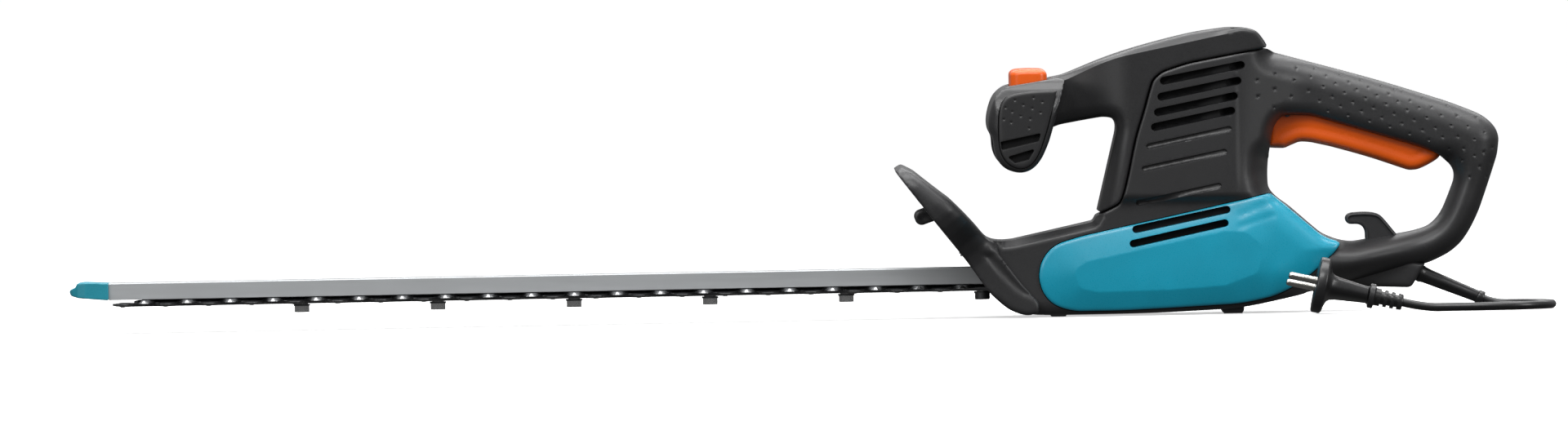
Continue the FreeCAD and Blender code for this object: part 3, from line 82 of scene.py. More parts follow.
BOWSIDE = [(178.0, 158.2), (175.6, 157.2), (163.0, 155.2), (150.4, 153.3), (144.9, 150.8), (140.0, 145.6), (137.0, 138.0), (135.6, 130.4),
           (136.2, 124.2), (138.4, 119.6), (139.2, 111.4), (140.8, 106.2), (143.6, 101.9), (147.6, 98.8), (153.0, 96.9), (157.5, 96.6),
           (161.8, 97.7), (165.8, 100.3), (168.9, 103.8), (171.6, 108.2), (178.0, 125.2)]
PADSHAPE = [(172.0, 149.0), (150.0, 147.0), (144.0, 141.0), (141.4, 130.0), (142.6, 114.0), (146.4, 106.0), (152.0, 102.6), (158.4, 102.2), (164.0, 105.6),
            (167.6, 111.6), (172.0, 125.0)]
FRONT = [(73.7, 98.9), (87.0, 81.3), (103.3, 60.1), (120.2, 38.0), (134.7, 17.5), (141.0, 11.2), (147.6, 5.9), (155.0, 2.7), (162.5, 1.5)]
TRIG = [(325.0, 109.6), (331.1, 108.4), (336.0, 110.2), (341.4, 112.2), (345.7, 112.3), (351.2, 111.5), (365.1, 108.1), (388.6, 101.0), (412.3, 92.7),
        (417.2, 92.4), (421.0, 93.2), (427.0, 95.9), (431.2, 98.6), (431.0, 105.4), (414.0, 114.6), (356.0, 132.3), (346.0, 135.4), (334.0, 137.0),
        (327.2, 134.6), (325.4, 122.0)]
HOOK = [(404.6, 49.9), (403.1, 52.4), (396.4, 60.7), (392.3, 64.0), (385.3, 65.2), (376.4, 65.0), (373.4, 64.3), (371.7, 62.8), (371.2, 61.0), (371.8, 59.0),
        (373.6, 57.5), (379.2, 57.2), (382.4, 55.6), (384.0, 52.6), (384.4, 47.0), (386.0, 40.5), (403.0, 43.0)]


def from_view(u, v):
    """Side-view position (x, z) in mm of a place measured in the reference view."""
    a = math.radians(1.08)
    return (0.54 * ((u - 961.0) * math.cos(a) - (v - 351.8) * math.sin(a)),
            0.54 * (-(u - 961.0) * math.sin(a) - (v - 351.8) * math.cos(a)) + 22.6)


def from_near(u, v, h):
    """The same for a place that lies h mm nearer to the viewer than the middle plane."""
    x, z = from_view(u, v)
    k = 1 - h / 10368.0
    return 0.3 + (x - 0.3) * k, 67.3 + (z - 67.3) * k + h * 0.021


# ------------------------------------------------------------------ curves and distances
def curve_line(pts, step=2.0, corner=48.0, closed=True):
    """Smooth line through the points; corners sharper than the angle stay sharp and long runs stay straight."""
    n = len(pts)
    P = [Vector(p) for p in pts]
    tin, tout = [None] * n, [None] * n
    for i in range(n):
        a = P[i - 1] if closed or i > 0 else None
        c = P[(i + 1) % n] if closed or i < n - 1 else None
        if a is None or c is None:
            d = (c - P[i]) if a is None else (P[i] - a)
            tin[i] = tout[i] = d.normalized()
            continue
        u, w = P[i] - a, c - P[i]
        lu, lw = u.length, w.length
        u, w = u / lu, w / lw
        turn = math.degrees(math.acos(max(-1, min(1, u.dot(w)))))
        if turn > corner:
            tin[i], tout[i] = u, w
        else:
            d = (u * lu * lu + w * lw * lw).normalized()
            tin[i] = tout[i] = d
    out = []
    for i in range(n if closed else n - 1):
        a, b = P[i], P[(i + 1) % n]
        length = (b - a).length
        m = max(1, int(math.ceil(length / step)))
        for k in range(m):
            t = k / m
            h00, h10 = 2 * t ** 3 - 3 * t ** 2 + 1, t ** 3 - 2 * t ** 2 + t
            h01, h11 = -2 * t ** 3 + 3 * t ** 2, t ** 3 - t ** 2
            q = a * h00 + tout[i] * (length * h10) + b * h01 + tin[(i + 1) % n] * (length * h11)
            out.append((q.x, q.y))
    if not closed:
        out.append(tuple(P[-1]))
    return out


def dist_to(P, line, closed=True):
    """Distance from each point to a polyline."""
    A = np.array(line, float)
    B = np.roll(A, -1, 0) if closed else A[1:]
    A = A if closed else A[:-1]
    D = B - A
    L2 = np.maximum((D ** 2).sum(1), 1e-12)
    best = np.full(len(P), 1e9)
    for s in range(0, len(P), 4000):
        Q = P[s:s + 4000]
        t = ((Q[:, None, :] - A[None]) * D[None]).sum(2) / L2
        t = np.clip(t, 0, 1)
        d = np.hypot(Q[:, None, 0] - A[None, :, 0] - t * D[None, :, 0], Q[:, None, 1] - A[None, :, 1] - t * D[None, :, 1])
        best[s:s + 4000] = d.min(1)
    return best


def inside(P, loop):
    A = np.array(loop, float)
    B = np.roll(A, -1, 0)
    res = np.zeros(len(P), bool)
    for s in range(0, len(P), 4000):
        Q = P[s:s + 4000]
        y = Q[:, 1][:, None]
        c = (A[None, :, 1] > y) != (B[None, :, 1] > y)
        dy = B[:, 1] - A[:, 1]
        dy = np.where(np.abs(dy) < 1e-12, 1e-12, dy)
        xx = A[None, :, 0] + (y - A[None, :, 1]) * ((B[:, 0] - A[:, 0]) / dy)[None]
        res[s:s + 4000] = ((c & (Q[:, 0][:, None] < xx)).sum(1) % 2) == 1
    return res


def sdf(P, loop):
    """Positive inside the loop."""
    d = dist_to(P, loop)
    return np.where(inside(P, loop), d, -d)


def offset_line(line, d):
    """Closed polyline moved inwards by d, with the folded points taken out."""
    A = np.array(line, float)
    area = 0.5 * (A[:, 0] * np.roll(A[:, 1], -1) - np.roll(A[:, 0], -1) * A[:, 1]).sum()
    nxt, prv = np.roll(A, -1, 0), np.roll(A, 1, 0)
    t1, t2 = A - prv, nxt - A
    t1 /= np.maximum(np.hypot(*t1.T), 1e-9)[:, None]
    t2 /= np.maximum(np.hypot(*t2.T), 1e-9)[:, None]
    nn = np.stack([-(t1[:, 1] + t2[:, 1]), t1[:, 0] + t2[:, 0]], 1) * (1 if area > 0 else -1)
    k = np.maximum(1 + (t1 * t2).sum(1), 0.35)
    B = A + nn / k[:, None] * d
    good = dist_to(B, line) > abs(d) * 0.985 - 1e-4
    return B, good


def smooth01(t):
    t = np.clip(t, 0, 1)
    return t * t * (3 - 2 * t)


def prof(d, R, p=2.0):
    t = np.clip(d / R, 0, 1)
    return (1 - (1 - t) ** p) ** (1 / p)


def obround(x0, z0, x1, z1, r, n=7):
    a = math.atan2(z1 - z0, x1 - x0)
    pts = []
    for cx, cz, s in ((x1, z1, a - math.pi / 2), (x0, z0, a + math.pi / 2)):
        for i in range(n + 1):
            b = s + math.pi * i / n
            pts.append((cx + r * math.cos(b), cz + r * math.sin(b)))
    m = []
    for i in range(len(pts)):
        p, q = pts[i], pts[(i + 1) % len(pts)]
        L = math.hypot(q[0] - p[0], q[1] - p[1])
        k = max(1, int(L / 2.2))
        m += [(p[0] + (q[0] - p[0]) * j / k, p[1] + (q[1] - p[1]) * j / k) for j in range(k)]
    return m


def round_loop(pts, r, n=5):
    """Polygon with rounded corners, each edge split finely."""
    out = []
    N = len(pts)
    for i in range(N):
        a, p, b = Vector(pts[i - 1]), Vector(pts[i]), Vector(pts[(i + 1) % N])
        rr = r[i] if isinstance(r, (list, tuple)) else r
        u, w = (a - p).normalized(), (b - p).normalized()
        half = math.acos(max(-1, min(1, u.dot(w)))) / 2
        if rr <= 0 or half > 1.55:
            out.append((p.x, p.y))
            continue
        d = min(rr / math.tan(half), (a - p).length * 0.48, (b - p).length * 0.48)
        rr = d * math.tan(half)
        c = p + (u + w).normalized() * (rr / math.sin(half))
        s, e = p + u * d, p + w * d
        a0 = math.atan2(s.y - c.y, s.x - c.x)
        a1 = math.atan2(e.y - c.y, e.x - c.x)
        da = (a1 - a0 + math.pi) % (2 * math.pi) - math.pi
        for k in range(n + 1):
            q = a0 + da * k / n
            out.append((c.x + rr * math.cos(q), c.y + rr * math.sin(q)))
    fine = []
    for i in range(len(out)):
        p, q = out[i], out[(i + 1) % len(out)]
        k = max(1, int(math.hypot(q[0] - p[0], q[1] - p[1]) / 2.2))
        fine += [(p[0] + (q[0] - p[0]) * j / k, p[1] + (q[1] - p[1]) * j / k) for j in range(k)]
    return fine


RINGS = (0.012, 0.07, 0.26, 0.7, 1.4, 2.4, 3.7, 5.2, 7.0, 9.0)


# ------------------------------------------------------------------ the surface builder
class Relief:
    """A triangulated sheet over a flat outline; its height is a field, so edges, slots and dimples are part of one surface."""

    def __init__(self, outline, holes=(), grid=1.6, rings=RINGS, loops=(), pits=(), keep_out=0.55):
        self.outline, self.holes = outline, list(holes)
        pts, edges = [], []

        def add_loop(line, closed=True):
            s = len(pts)
            pts.extend(line)
            n = len(line)
            edges.extend((s + i, s + (i + 1) % n) for i in range(n if closed else n - 1))

        add_loop(outline)
        for h in self.holes:
            add_loop(h)
        fixed = [outline] + self.holes
        strong = []
        for line, offs in loops:
            for o in offs:
                if abs(o) < 1e-6:
                    add_loop(line)
                    strong.append(np.array(line))
                elif o == 99:
                    add_loop(line, closed=False)
                    strong.append(np.array(line))
                else:
                    B, good = offset_line(line, o)
                    B = B[good]
                    if len(B) > 2:
                        strong.append(B)
                        if good.all():
                            add_loop([tuple(q) for q in B])
                        else:
                            pts.extend(tuple(q) for q in B)
        pit_pts = []
        for (x, z) in pits:
            pit_pts.append((x, z))
            for r, n in ((0.4, 6), (0.8, 8), (1.2, 11)):
                for i in range(n):
                    a = 2 * math.pi * (i + 0.5 * (n % 2)) / n
                    pit_pts.append((x + r * math.cos(a), z + r * math.sin(a)))
        soft = []
        last = 0.0
        for r in rings:
            for k, line in enumerate(fixed):
                B, good = offset_line(line, r if k == 0 else -r)
                B = B[good]
                if len(B):
                    D = np.min([dist_to(B, q) for q in fixed], axis=0)
                    B = B[D > r * 0.985 - 1e-4]
                    # thin the deeper rings
                    soft.append((r, B))
            last = r
        lo, hi = np.min(outline, 0), np.max(outline, 0)
        gx = np.arange(lo[0], hi[0], grid)
        gz = np.arange(lo[1], hi[1], grid * 0.866)
        G = np.array([(x + (0.5 * grid if j % 2 else 0), z) for j, z in enumerate(gz) for x in gx])
        D = np.min([dist_to(G, q) for q in fixed], axis=0)
        G = G[D > last + grid * 0.45]
        soft.append((grid, G))
        allsoft = np.concatenate([b for _, b in soft if len(b)]) if soft else np.zeros((0, 2))
        if len(allsoft):
            ok = inside(allsoft, outline)
            for h in self.holes:
                ok &= ~inside(allsoft, h)
            if strong:
                S_ = np.concatenate(strong)
                for s in range(0, len(allsoft), 3000):
                    q = allsoft[s:s + 3000]
                    dd = np.hypot(q[:, None, 0] - S_[None, :, 0], q[:, None, 1] - S_[None, :, 1]).min(1)
                    ok[s:s + 3000] &= dd > keep_out
            if len(pits):
                C = np.array(pits)
                for s in range(0, len(allsoft), 3000):
                    q = allsoft[s:s + 3000]
                    dd = np.hypot(q[:, None, 0] - C[None, :, 0], q[:, None, 1] - C[None, :, 1]).min(1)
                    ok[s:s + 3000] &= dd > 1.6
            allsoft = allsoft[ok]
            # near duplicates are grouped in 0.5 mm cells, but the groups are not used and every point is kept
            key = {}
            for q in allsoft:
                k = (round(q[0] / 0.5), round(q[1] / 0.5))
                key.setdefault(k, []).append(q)
            pts.extend((float(q[0]), float(q[1])) for q in allsoft)
        if pit_pts:
            A = np.array(pit_pts)
            ok = inside(A, outline) & (np.min([dist_to(A, q) for q in fixed], axis=0) > 0.3)
            pts.extend(tuple(q) for q in A[ok])
        vs, es, fs, *_ = delaunay_2d_cdt([Vector(p) for p in pts], edges, [], 0, 1e-4)
        V = np.array([(v.x, v.y) for v in vs])
        T = np.array([tuple(f) for f in fs if len(f) == 3])
        C = V[T].mean(1)
        ok = inside(C, outline)
        for h in self.holes:
            ok &= ~inside(C, h)
        T = T[ok]
        a, b, c = V[T[:, 0]], V[T[:, 1]], V[T[:, 2]]
        ar = (b[:, 0] - a[:, 0]) * (c[:, 1] - a[:, 1]) - (b[:, 1] - a[:, 1]) * (c[:, 0] - a[:, 0])
        T[ar < 0] = T[ar < 0][:, ::-1]
        T = T[np.abs(ar) > 1e-9]
        used = np.unique(T)
        new = -np.ones(len(V), int)
        new[used] = np.arange(len(used))
        self.P, self.T = V[used], new[T]
        self.edge_dist = np.min([dist_to(self.P, q) for q in fixed], axis=0)
        E = {}
        for t in self.T:
            for i in range(3):
                e = (int(t[i]), int(t[(i + 1) % 3]))
                E[e] = 1
        self.rim = [e for e in E if (e[1], e[0]) not in E]

    def inward(self):
        """Unit vector pointing inwards at each rim point."""
        n = {}
        for a, b in self.rim:
            d = self.P[b] - self.P[a]
            w = np.array([-d[1], d[0]]) / max(np.hypot(*d), 1e-9)
            for i in (a, b):
                n[i] = n.get(i, np.zeros(2)) + w
        return {i: v / max(np.hypot(*v), 1e-9) for i, v in n.items()}

    def mesh(self, name, H, put, floor=0.0, flip=False, both=False, rows=3, lip=None, close=False):
        """H: height of every point.  put(u, v, h) gives metres.  floor: where the walls go.  lip: rim test and depth."""
        P, T, n = self.P, self.T, len(self.P)

        def fl_of(i):
            return float(floor[i]) if isinstance(floor, np.ndarray) else floor

        verts = [put(P[i, 0], P[i, 1], H[i]) for i in range(n)]
        faces = [tuple(t) if not flip else tuple(t[::-1]) for t in T]
        if both:
            tops = [put(P[i, 0], P[i, 1], -H[i]) for i in range(n)]
            back = []
            for i in range(n):
                if H[i] < 0.004 and i in self._rimset():
                    back.append(i)
                else:
                    back.append(len(verts))
                    verts.append(tops[i])
            faces += [tuple(back[j] for j in (t[::-1] if not flip else t)) for t in T]
            cols = {}
            for i in self._rimset():
                if back[i] == i:
                    cols[i] = [i] * (rows + 1)
                else:
                    c = [i]
                    for k in range(1, rows):
                        h = H[i] * (1 - 2 * k / rows)
                        c.append(len(verts))
                        verts.append(put(P[i, 0], P[i, 1], h))
                    c.append(back[i])
                    cols[i] = c
            for a, b in self.rim:
                for k in range(rows):
                    q = [cols[b][k], cols[a][k], cols[a][k + 1], cols[b][k + 1]]
                    q = [x for j, x in enumerate(q) if x not in q[:j]]
                    if len(q) > 2:
                        faces.append(tuple(q if not flip else q[::-1]))
        else:
            nrm = self.inward() if lip else None
            cols = {}
            for i in self._rimset():
                c = [i]
                deep = lip(P[i, 0], P[i, 1]) if lip else 0
                if deep:
                    for k in range(1, rows + 1):
                        q = P[i] + nrm[i] * deep * k / rows
                        c.append(len(verts))
                        verts.append(put(q[0], q[1], H[i]))
                elif abs(H[i] - fl_of(i)) < 0.01:
                    c = [i] * (rows + 1)
                else:
                    for k in range(1, rows + 1):
                        c.append(len(verts))
                        verts.append(put(P[i, 0], P[i, 1], H[i] + (fl_of(i) - H[i]) * k / rows))
                cols[i] = c
            for a, b in self.rim:
                for k in range(rows):
                    q = [cols[b][k], cols[a][k], cols[a][k + 1], cols[b][k + 1]]
                    q = [x for j, x in enumerate(q) if x not in q[:j]]
                    if len(q) > 2:
                        faces.append(tuple(q if not flip else q[::-1]))
            if close:
                low = {}
                for i in range(n):
                    if i in cols:
                        low[i] = cols[i][-1]
                    else:
                        low[i] = len(verts)
                        verts.append(put(P[i, 0], P[i, 1], fl_of(i)))
                faces += [tuple(low[int(j)] for j in (t[::-1] if not flip else t)) for t in T]
        return new_mesh(name, verts, faces)

    def _rimset(self):
        if not hasattr(self, "_rs"):
            self._rs = set(i for e in self.rim for i in e)
        return self._rs


def new_mesh(name, verts, faces, sharp=36.0, smooth=True):
    me = bpy.data.meshes.new(name)
    me.from_pydata([tuple(v) for v in verts], [], [tuple(int(i) for i in f) for f in faces])
    me.validate()
    me.update()
    if smooth:
        me.polygons.foreach_set("use_smooth", [True] * len(me.polygons))
        me.set_sharp_from_angle(angle=math.radians(sharp))
    ob = bpy.data.objects.new(name, me)
    scene.collection.objects.link(ob)
    return ob


def side(u, v, h):
    return (u * 0.001, -h * 0.001, v * 0.001)


def side_far(u, v, h):
    return (u * 0.001, h * 0.001, v * 0.001)


def flat(u, v, h):
    return (u * 0.001, v * 0.001, h * 0.001)


# ------------------------------------------------------------------ finishes
def finish_of(name, colour, rough, metal=0.0, vary=0.12, grain=900.0, grain_depth=0.00006, rough_vary=0.10, wear=0.0,
              wear_colour=(0.3, 0.3, 0.3), coat=0.0, fleck=0.5, streak=None, spec=0.5, mottling=40.0, dirt=0.0, dark=None, use_dark=None):
    m = bpy.data.materials.new(name)
    m.use_nodes = True
    nt = m.node_tree
    nt.nodes.clear()
    N, Lk = nt.nodes.new, nt.links.new
    out = N("ShaderNodeOutputMaterial")
    bs = N("ShaderNodeBsdfPrincipled")
    Lk(bs.outputs[0], out.inputs[0])
    bs.inputs["Metallic"].default_value = metal
    bs.inputs["Specular IOR Level"].default_value = spec
    if coat:
        bs.inputs["Coat Weight"].default_value = coat
        bs.inputs["Coat Roughness"].default_value = 0.12
    tc = N("ShaderNodeTexCoord")
    src = tc.outputs["Object"]
    if streak:
        mp = N("ShaderNodeMapping")
        mp.inputs["Scale"].default_value = streak
        Lk(src, mp.inputs[0])
        fine_src = mp.outputs[0]
    else:
        fine_src = src
    fine = N("ShaderNodeTexNoise")
    fine.inputs["Scale"].default_value = grain
    fine.inputs["Detail"].default_value = 4
    fine.inputs["Roughness"].default_value = 0.62
    Lk(fine_src, fine.inputs["Vector"])
    big = N("ShaderNodeTexNoise")
    big.inputs["Scale"].default_value = mottling
    big.inputs["Detail"].default_value = 5
    Lk(src, big.inputs["Vector"])
    ramp = N("ShaderNodeValToRGB")
    ramp.color_ramp.elements[0].position = 0.32
    ramp.color_ramp.elements[1].position = 0.70
    lo = [c * (1 - vary) for c in colour]
    hi = [min(1, c * (1 + vary)) for c in colour]
    ramp.color_ramp.elements[0].color = (*lo, 1)
    ramp.color_ramp.elements[1].color = (*hi, 1)
    Lk(big.outputs["Fac"], ramp.inputs[0])
    speck = N("ShaderNodeMix")
    speck.data_type = "RGBA"
    speck.blend_type = "MULTIPLY"
    speck.inputs[0].default_value = fleck
    r2 = N("ShaderNodeValToRGB")
    r2.color_ramp.elements[0].position = 0.30
    r2.color_ramp.elements[0].color = (0.72, 0.72, 0.72, 1)
    r2.color_ramp.elements[1].position = 0.62
    r2.color_ramp.elements[1].color = (1, 1, 1, 1)
    Lk(fine.outputs["Fac"], r2.inputs[0])
    Lk(ramp.outputs[0], speck.inputs[6])
    Lk(r2.outputs[0], speck.inputs[7])
    col = speck.outputs[2]
    if wear:
        geo = N("ShaderNodeNewGeometry")
        rw = N("ShaderNodeValToRGB")
        rw.color_ramp.elements[0].position = 0.53
        rw.color_ramp.elements[0].color = (0, 0, 0, 1)
        rw.color_ramp.elements[1].position = 0.62
        rw.color_ramp.elements[1].color = (1, 1, 1, 1)
        Lk(geo.outputs["Pointiness"], rw.inputs[0])
        mul = N("ShaderNodeMath")
        mul.operation = "MULTIPLY"
        mul.inputs[1].default_value = wear
        Lk(rw.outputs[0], mul.inputs[0])
        mx = N("ShaderNodeMix")
        mx.data_type = "RGBA"
        Lk(mul.outputs[0], mx.inputs[0])
        Lk(col, mx.inputs[6])
        mx.inputs[7].default_value = (*wear_colour, 1)
        col = mx.outputs[2]
    Lk(col, bs.inputs["Base Color"])
    rr = N("ShaderNodeMapRange")
    rr.inputs["From Min"].default_value = 0.3
    rr.inputs["From Max"].default_value = 0.7
    rr.inputs["To Min"].default_value = max(0.03, rough - rough_vary)
    rr.inputs["To Max"].default_value = min(1, rough + rough_vary)
    Lk(fine.outputs["Fac"], rr.inputs["Value"])
    Lk(rr.outputs[0], bs.inputs["Roughness"])
    bp = N("ShaderNodeBump")
    bp.inputs["Strength"].default_value = 0.5
    bp.inputs["Distance"].default_value = grain_depth
    Lk(fine.outputs["Fac"], bp.inputs["Height"])
    Lk(bp.outputs[0], bs.inputs["Normal"])
    return m


def lin(h):
    h = h.lstrip("#")
    out = []
    for i in (0, 2, 4):
        c = int(h[i:i + 2], 16) / 255
        out.append(c / 12.92 if c <= 0.04045 else ((c + 0.055) / 1.055) ** 2.4)
    return tuple(out)


M = {}
M["charcoal"] = finish_of("charcoal_moulded", lin("2b2b2c"), 0.42, vary=0.07, grain=1500, grain_depth=0.00005, wear=0.35, wear_colour=lin("5a5b5e"))
M["arm"] = finish_of("charcoal_satin", lin("282829"), 0.36, vary=0.07, grain=1700, grain_depth=0.00004, wear=0.35, wear_colour=lin("5e5f62"))
M["grip"] = finish_of("soft_touch", lin("242425"), 0.42, vary=0.08, grain=1900, grain_depth=0.00005, wear=0.25, wear_colour=lin("55565a"))
M["turquoise"] = finish_of("turquoise_moulded", lin("1297b3"), 0.33, fleck=0.12, vary=0.05, grain=1700, grain_depth=0.00003, wear=0.35, wear_colour=lin("62bccb"), coat=0.15)
M["orange"] = finish_of("orange_moulded", lin("e25a08"), 0.34, fleck=0.12, vary=0.06, grain=1700, grain_depth=0.00003, wear=0.35, wear_colour=lin("f08a4c"), coat=0.12)
M["tip"] = finish_of("tip_moulded", lin("208fa2"), 0.40, vary=0.08, grain=1500, grain_depth=0.00004, wear=0.4, wear_colour=lin("79cbd4"))
M["rail"] = finish_of("drawn_aluminium", lin("8d9192"), 0.46, metal=0.4, fleck=0.25, vary=0.07, grain=1200, grain_depth=0.00002, streak=(0.02, 1, 1), rough_vary=0.08, wear=0.5, wear_colour=lin("d5d7d9"), mottling=14)
M["knife"] = finish_of("ground_steel", lin("6f7072"), 0.30, metal=1.0, vary=0.22, grain=900, grain_depth=0.00004, streak=(0.15, 1, 1), rough_vary=0.12, wear=0.7, wear_colour=lin("d9dadb"), mottling=70)
M["dark"] = finish_of("blackened_steel", lin("47484a"), 0.40, metal=0.9, vary=0.2, grain=1400, grain_depth=0.00003, wear=0.6, wear_colour=lin("9a9b9d"))
M["bright"] = finish_of("plated_steel", lin("c3c4c3"), 0.24, metal=1.0, vary=0.10, grain=1400, grain_depth=0.00002, wear=0.4, wear_colour=lin("eeeeee"))
M["cast"] = finish_of("cast_aluminium", lin("8f9193"), 0.55, metal=0.9, vary=0.15, grain=500, grain_depth=0.0001, wear=0.4, wear_colour=lin("c8cacb"))
M["bronze"] = finish_of("sintered_bronze", lin("8a6a3f"), 0.50, metal=0.9, vary=0.18, grain=1500, grain_depth=0.00006, wear=0.3, wear_colour=lin("b8935d"))
M["copper"] = finish_of("enamelled_copper", lin("a0522a"), 0.28, metal=0.8, vary=0.25, grain=1000, grain_depth=0.0001, streak=(1, 1, 0.2), coat=0.5, wear=0.2, wear_colour=lin("d08a5a"))
M["carbon"] = finish_of("carbon", lin("242424"), 0.62, vary=0.2, grain=1700, grain_depth=0.00005, wear=0.2, wear_colour=lin("4a4a4a"))
M["inner"] = finish_of("inner_moulded", lin("24272c"), 0.50, vary=0.12, grain=1300, grain_depth=0.00005, wear=0.3, wear_colour=lin("4c5058"))
M["rubber"] = finish_of("cord_rubber", lin("161617"), 0.34, vary=0.18, grain=1600, grain_depth=0.00004, wear=0.2, wear_colour=lin("3a3a3c"), coat=0.2)
M["plug"] = finish_of("plug_moulded", lin("19191a"), 0.36, vary=0.15, grain=1500, grain_depth=0.00004, wear=0.35, wear_colour=lin("434346"), coat=0.15)
# near-black painted shade for the deep faces of slots, vents and grip recesses
M["void"] = finish_of("deep_shadow", lin("0b0b0c"), 0.7, vary=0.3, grain=1500, grain_depth=0.00003, spec=0.15)
M["nickel"] = finish_of("nickel_pins", lin("c9c8c2"), 0.22, metal=1.0, vary=0.08, grain=1500, grain_depth=0.00002, streak=(0.1, 1, 1), wear=0.3, wear_colour=lin("f2f2f0"))

BY_SLOT = {"plastic_charcoal": "charcoal", "soft_grip": "grip", "plastic_turquoise": "turquoise", "plastic_orange": "orange", "tip_plastic": "tip",
           "rail_aluminium": "rail", "knife_steel": "knife", "dark_steel": "dark", "bright_steel": "bright", "cast_aluminium": "cast",
           "sintered_bronze": "bronze", "copper_winding": "copper", "carbon": "carbon", "inner_plastic": "inner", "cord_rubber": "rubber", "pin_nickel": "nickel"}
for entry in frame["record"].get("subparts", []):
    n = entry.get("node")
    if n in NODES and entry.get("material_slot") in BY_SLOT:
        NODES[n].data.materials.clear()
        NODES[n].data.materials.append(M[BY_SLOT[entry["material_slot"]]])
        NODES[n].data.polygons.foreach_set("material_index", [0] * len(NODES[n].data.polygons))
for n, o in NODES.items():
    if not o.data.materials or not o.data.materials[0] or o.data.materials[0] not in M.values():
        o.data.materials.clear()
        o.data.materials.append(M["inner"])


def place(ob, mat, body, *nodes, slot=None):
    if not ob.data.materials:
        ob.data.materials.append(M[mat])
    else:
        ob.data.materials[0] = M[mat]
    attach(ob, body)
    if nodes:
        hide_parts(*nodes)
    return ob


# ------------------------------------------------------------------ housing halves
def cut_line(pts, a, b):
    """The part of a closed point list from point a to point b."""
    i = min(range(len(pts)), key=lambda k: math.hypot(pts[k][0] - a[0], pts[k][1] - a[1]))
    j = min(range(len(pts)), key=lambda k: math.hypot(pts[k][0] - b[0], pts[k][1] - b[1]))
    out = [pts[i]]
    while i != j:
        i = (i + 1) % len(pts)
        out.append(pts[i])
    return out


whole = curve_line(WHOLE, 2.0, 50)
loop = curve_line(LOOP, 2.0, 60)
E_SEAM = cut_line(whole, (209.6, 67.7), (319.6, 174.6))
E_FREE = cut_line(whole, (326.3, 171.8), (345.0, 13.0))
E_BASE = cut_line(whole, (345.0, 13.0), (151.5, 7.6))
E_FRONT = cut_line(whole, (151.5, 7.6), (119.3, 48.6))
E_NOSE = cut_line(whole, (144.0, 51.2), (206.6, 66.4))
E_CHAN = cut_line(loop, (321.4, 105.0), (437.0, 99.6))
E_LOOP = cut_line(loop, (439.6, 96.9), (320.9, 101.5))
CROP_PITS = [(176, 257), (80, 289), (172, 337), (84, 375), (170, 432), (289, 229), (382, 231), (277, 291), (260, 375), (360, 273), (441, 268),
             (513, 263), (347, 345), (423, 322), (487, 307), (558, 300), (621, 292), (403, 396), (470, 375), (533, 354), (597, 338), (659, 328),
             (727, 321), (514, 424), (577, 403), (643, 382), (702, 368), (766, 362), (795, 340), (836, 351), (449, 448), (553, 471), (622, 450),
             (684, 432), (749, 413), (811, 400), (876, 397), (942, 384), (665, 500), (727, 484), (791, 464), (859, 444), (921, 433), (987, 431),
             (1069, 424), (770, 530), (832, 514), (895, 496), (961, 484), (1035, 472), (1120, 475), (873, 567), (938, 549), (1005, 537), (1087, 525),
             (1173, 530), (1222, 485), (973, 600), (1043, 585), (1122, 583), (1209, 597), (1262, 560), (1077, 645), (1153, 645), (1257, 663),
             (1303, 640), (1208, 682), (1147, 706), (1235, 738), (1300, 722), (1184, 792), (1273, 790)]
PITS = [from_near(1520 + x / 4.238, 30 + y / 4.238, 30 if x < 300 else 17) for x, y in CROP_PITS]


def housing_width(P):
    x, z = P[:, 0], P[:, 1]
    up = smooth01((z - 66) / 14)
    tower = 1 - smooth01((x - 292 - 0.10 * (z - 120)) / 62)
    tw = 17.5 + 23.2 * tower * up
    s = sdf(P, PANEL_FINE)
    away = np.where(x < 300, 0, np.maximum(-s, 0))
    away = np.maximum(away, 0)
    body = 17.5 + 18.6 * (1 - smooth01(away / 64.0)) * (1 - smooth01((z - 84) / 22) * smooth01((x - 300) / 20))
    k = 3.0
    return np.logaddexp(tw / k, body / k) * k - 0.2 * 0


PANEL_FINE = curve_line(PANEL, 2.0, 60)


def seam_prof(d, W, r):
    t = np.clip(d / r, 0, 1)
    return 1 - (r / W) * (1 - np.sqrt(np.maximum(0, 1 - (1 - t) ** 2)))


LEAF_A = curve_line([(140.3, 44.4), (148.0, 33.6), (157.0, 21.6), (166.3, 11.4)], 2.0, 60, closed=False)
LEAF_B = curve_line([(166.3, 11.4), (160.6, 20.6), (153.2, 31.6), (146.0, 41.8)], 2.0, 60, closed=False)
LEAF = LEAF_A + LEAF_B[1:]
FOOT = LEAF_A + curve_line([(166.3, 11.4), (168.0, 7.0), (166.0, 2.4), (151.5, 8.2), (139.6, 21.0), (127.9, 37.3), (121.0, 48.0), (131.0, 53.0)], 2.0, 60, closed=False)[1:]


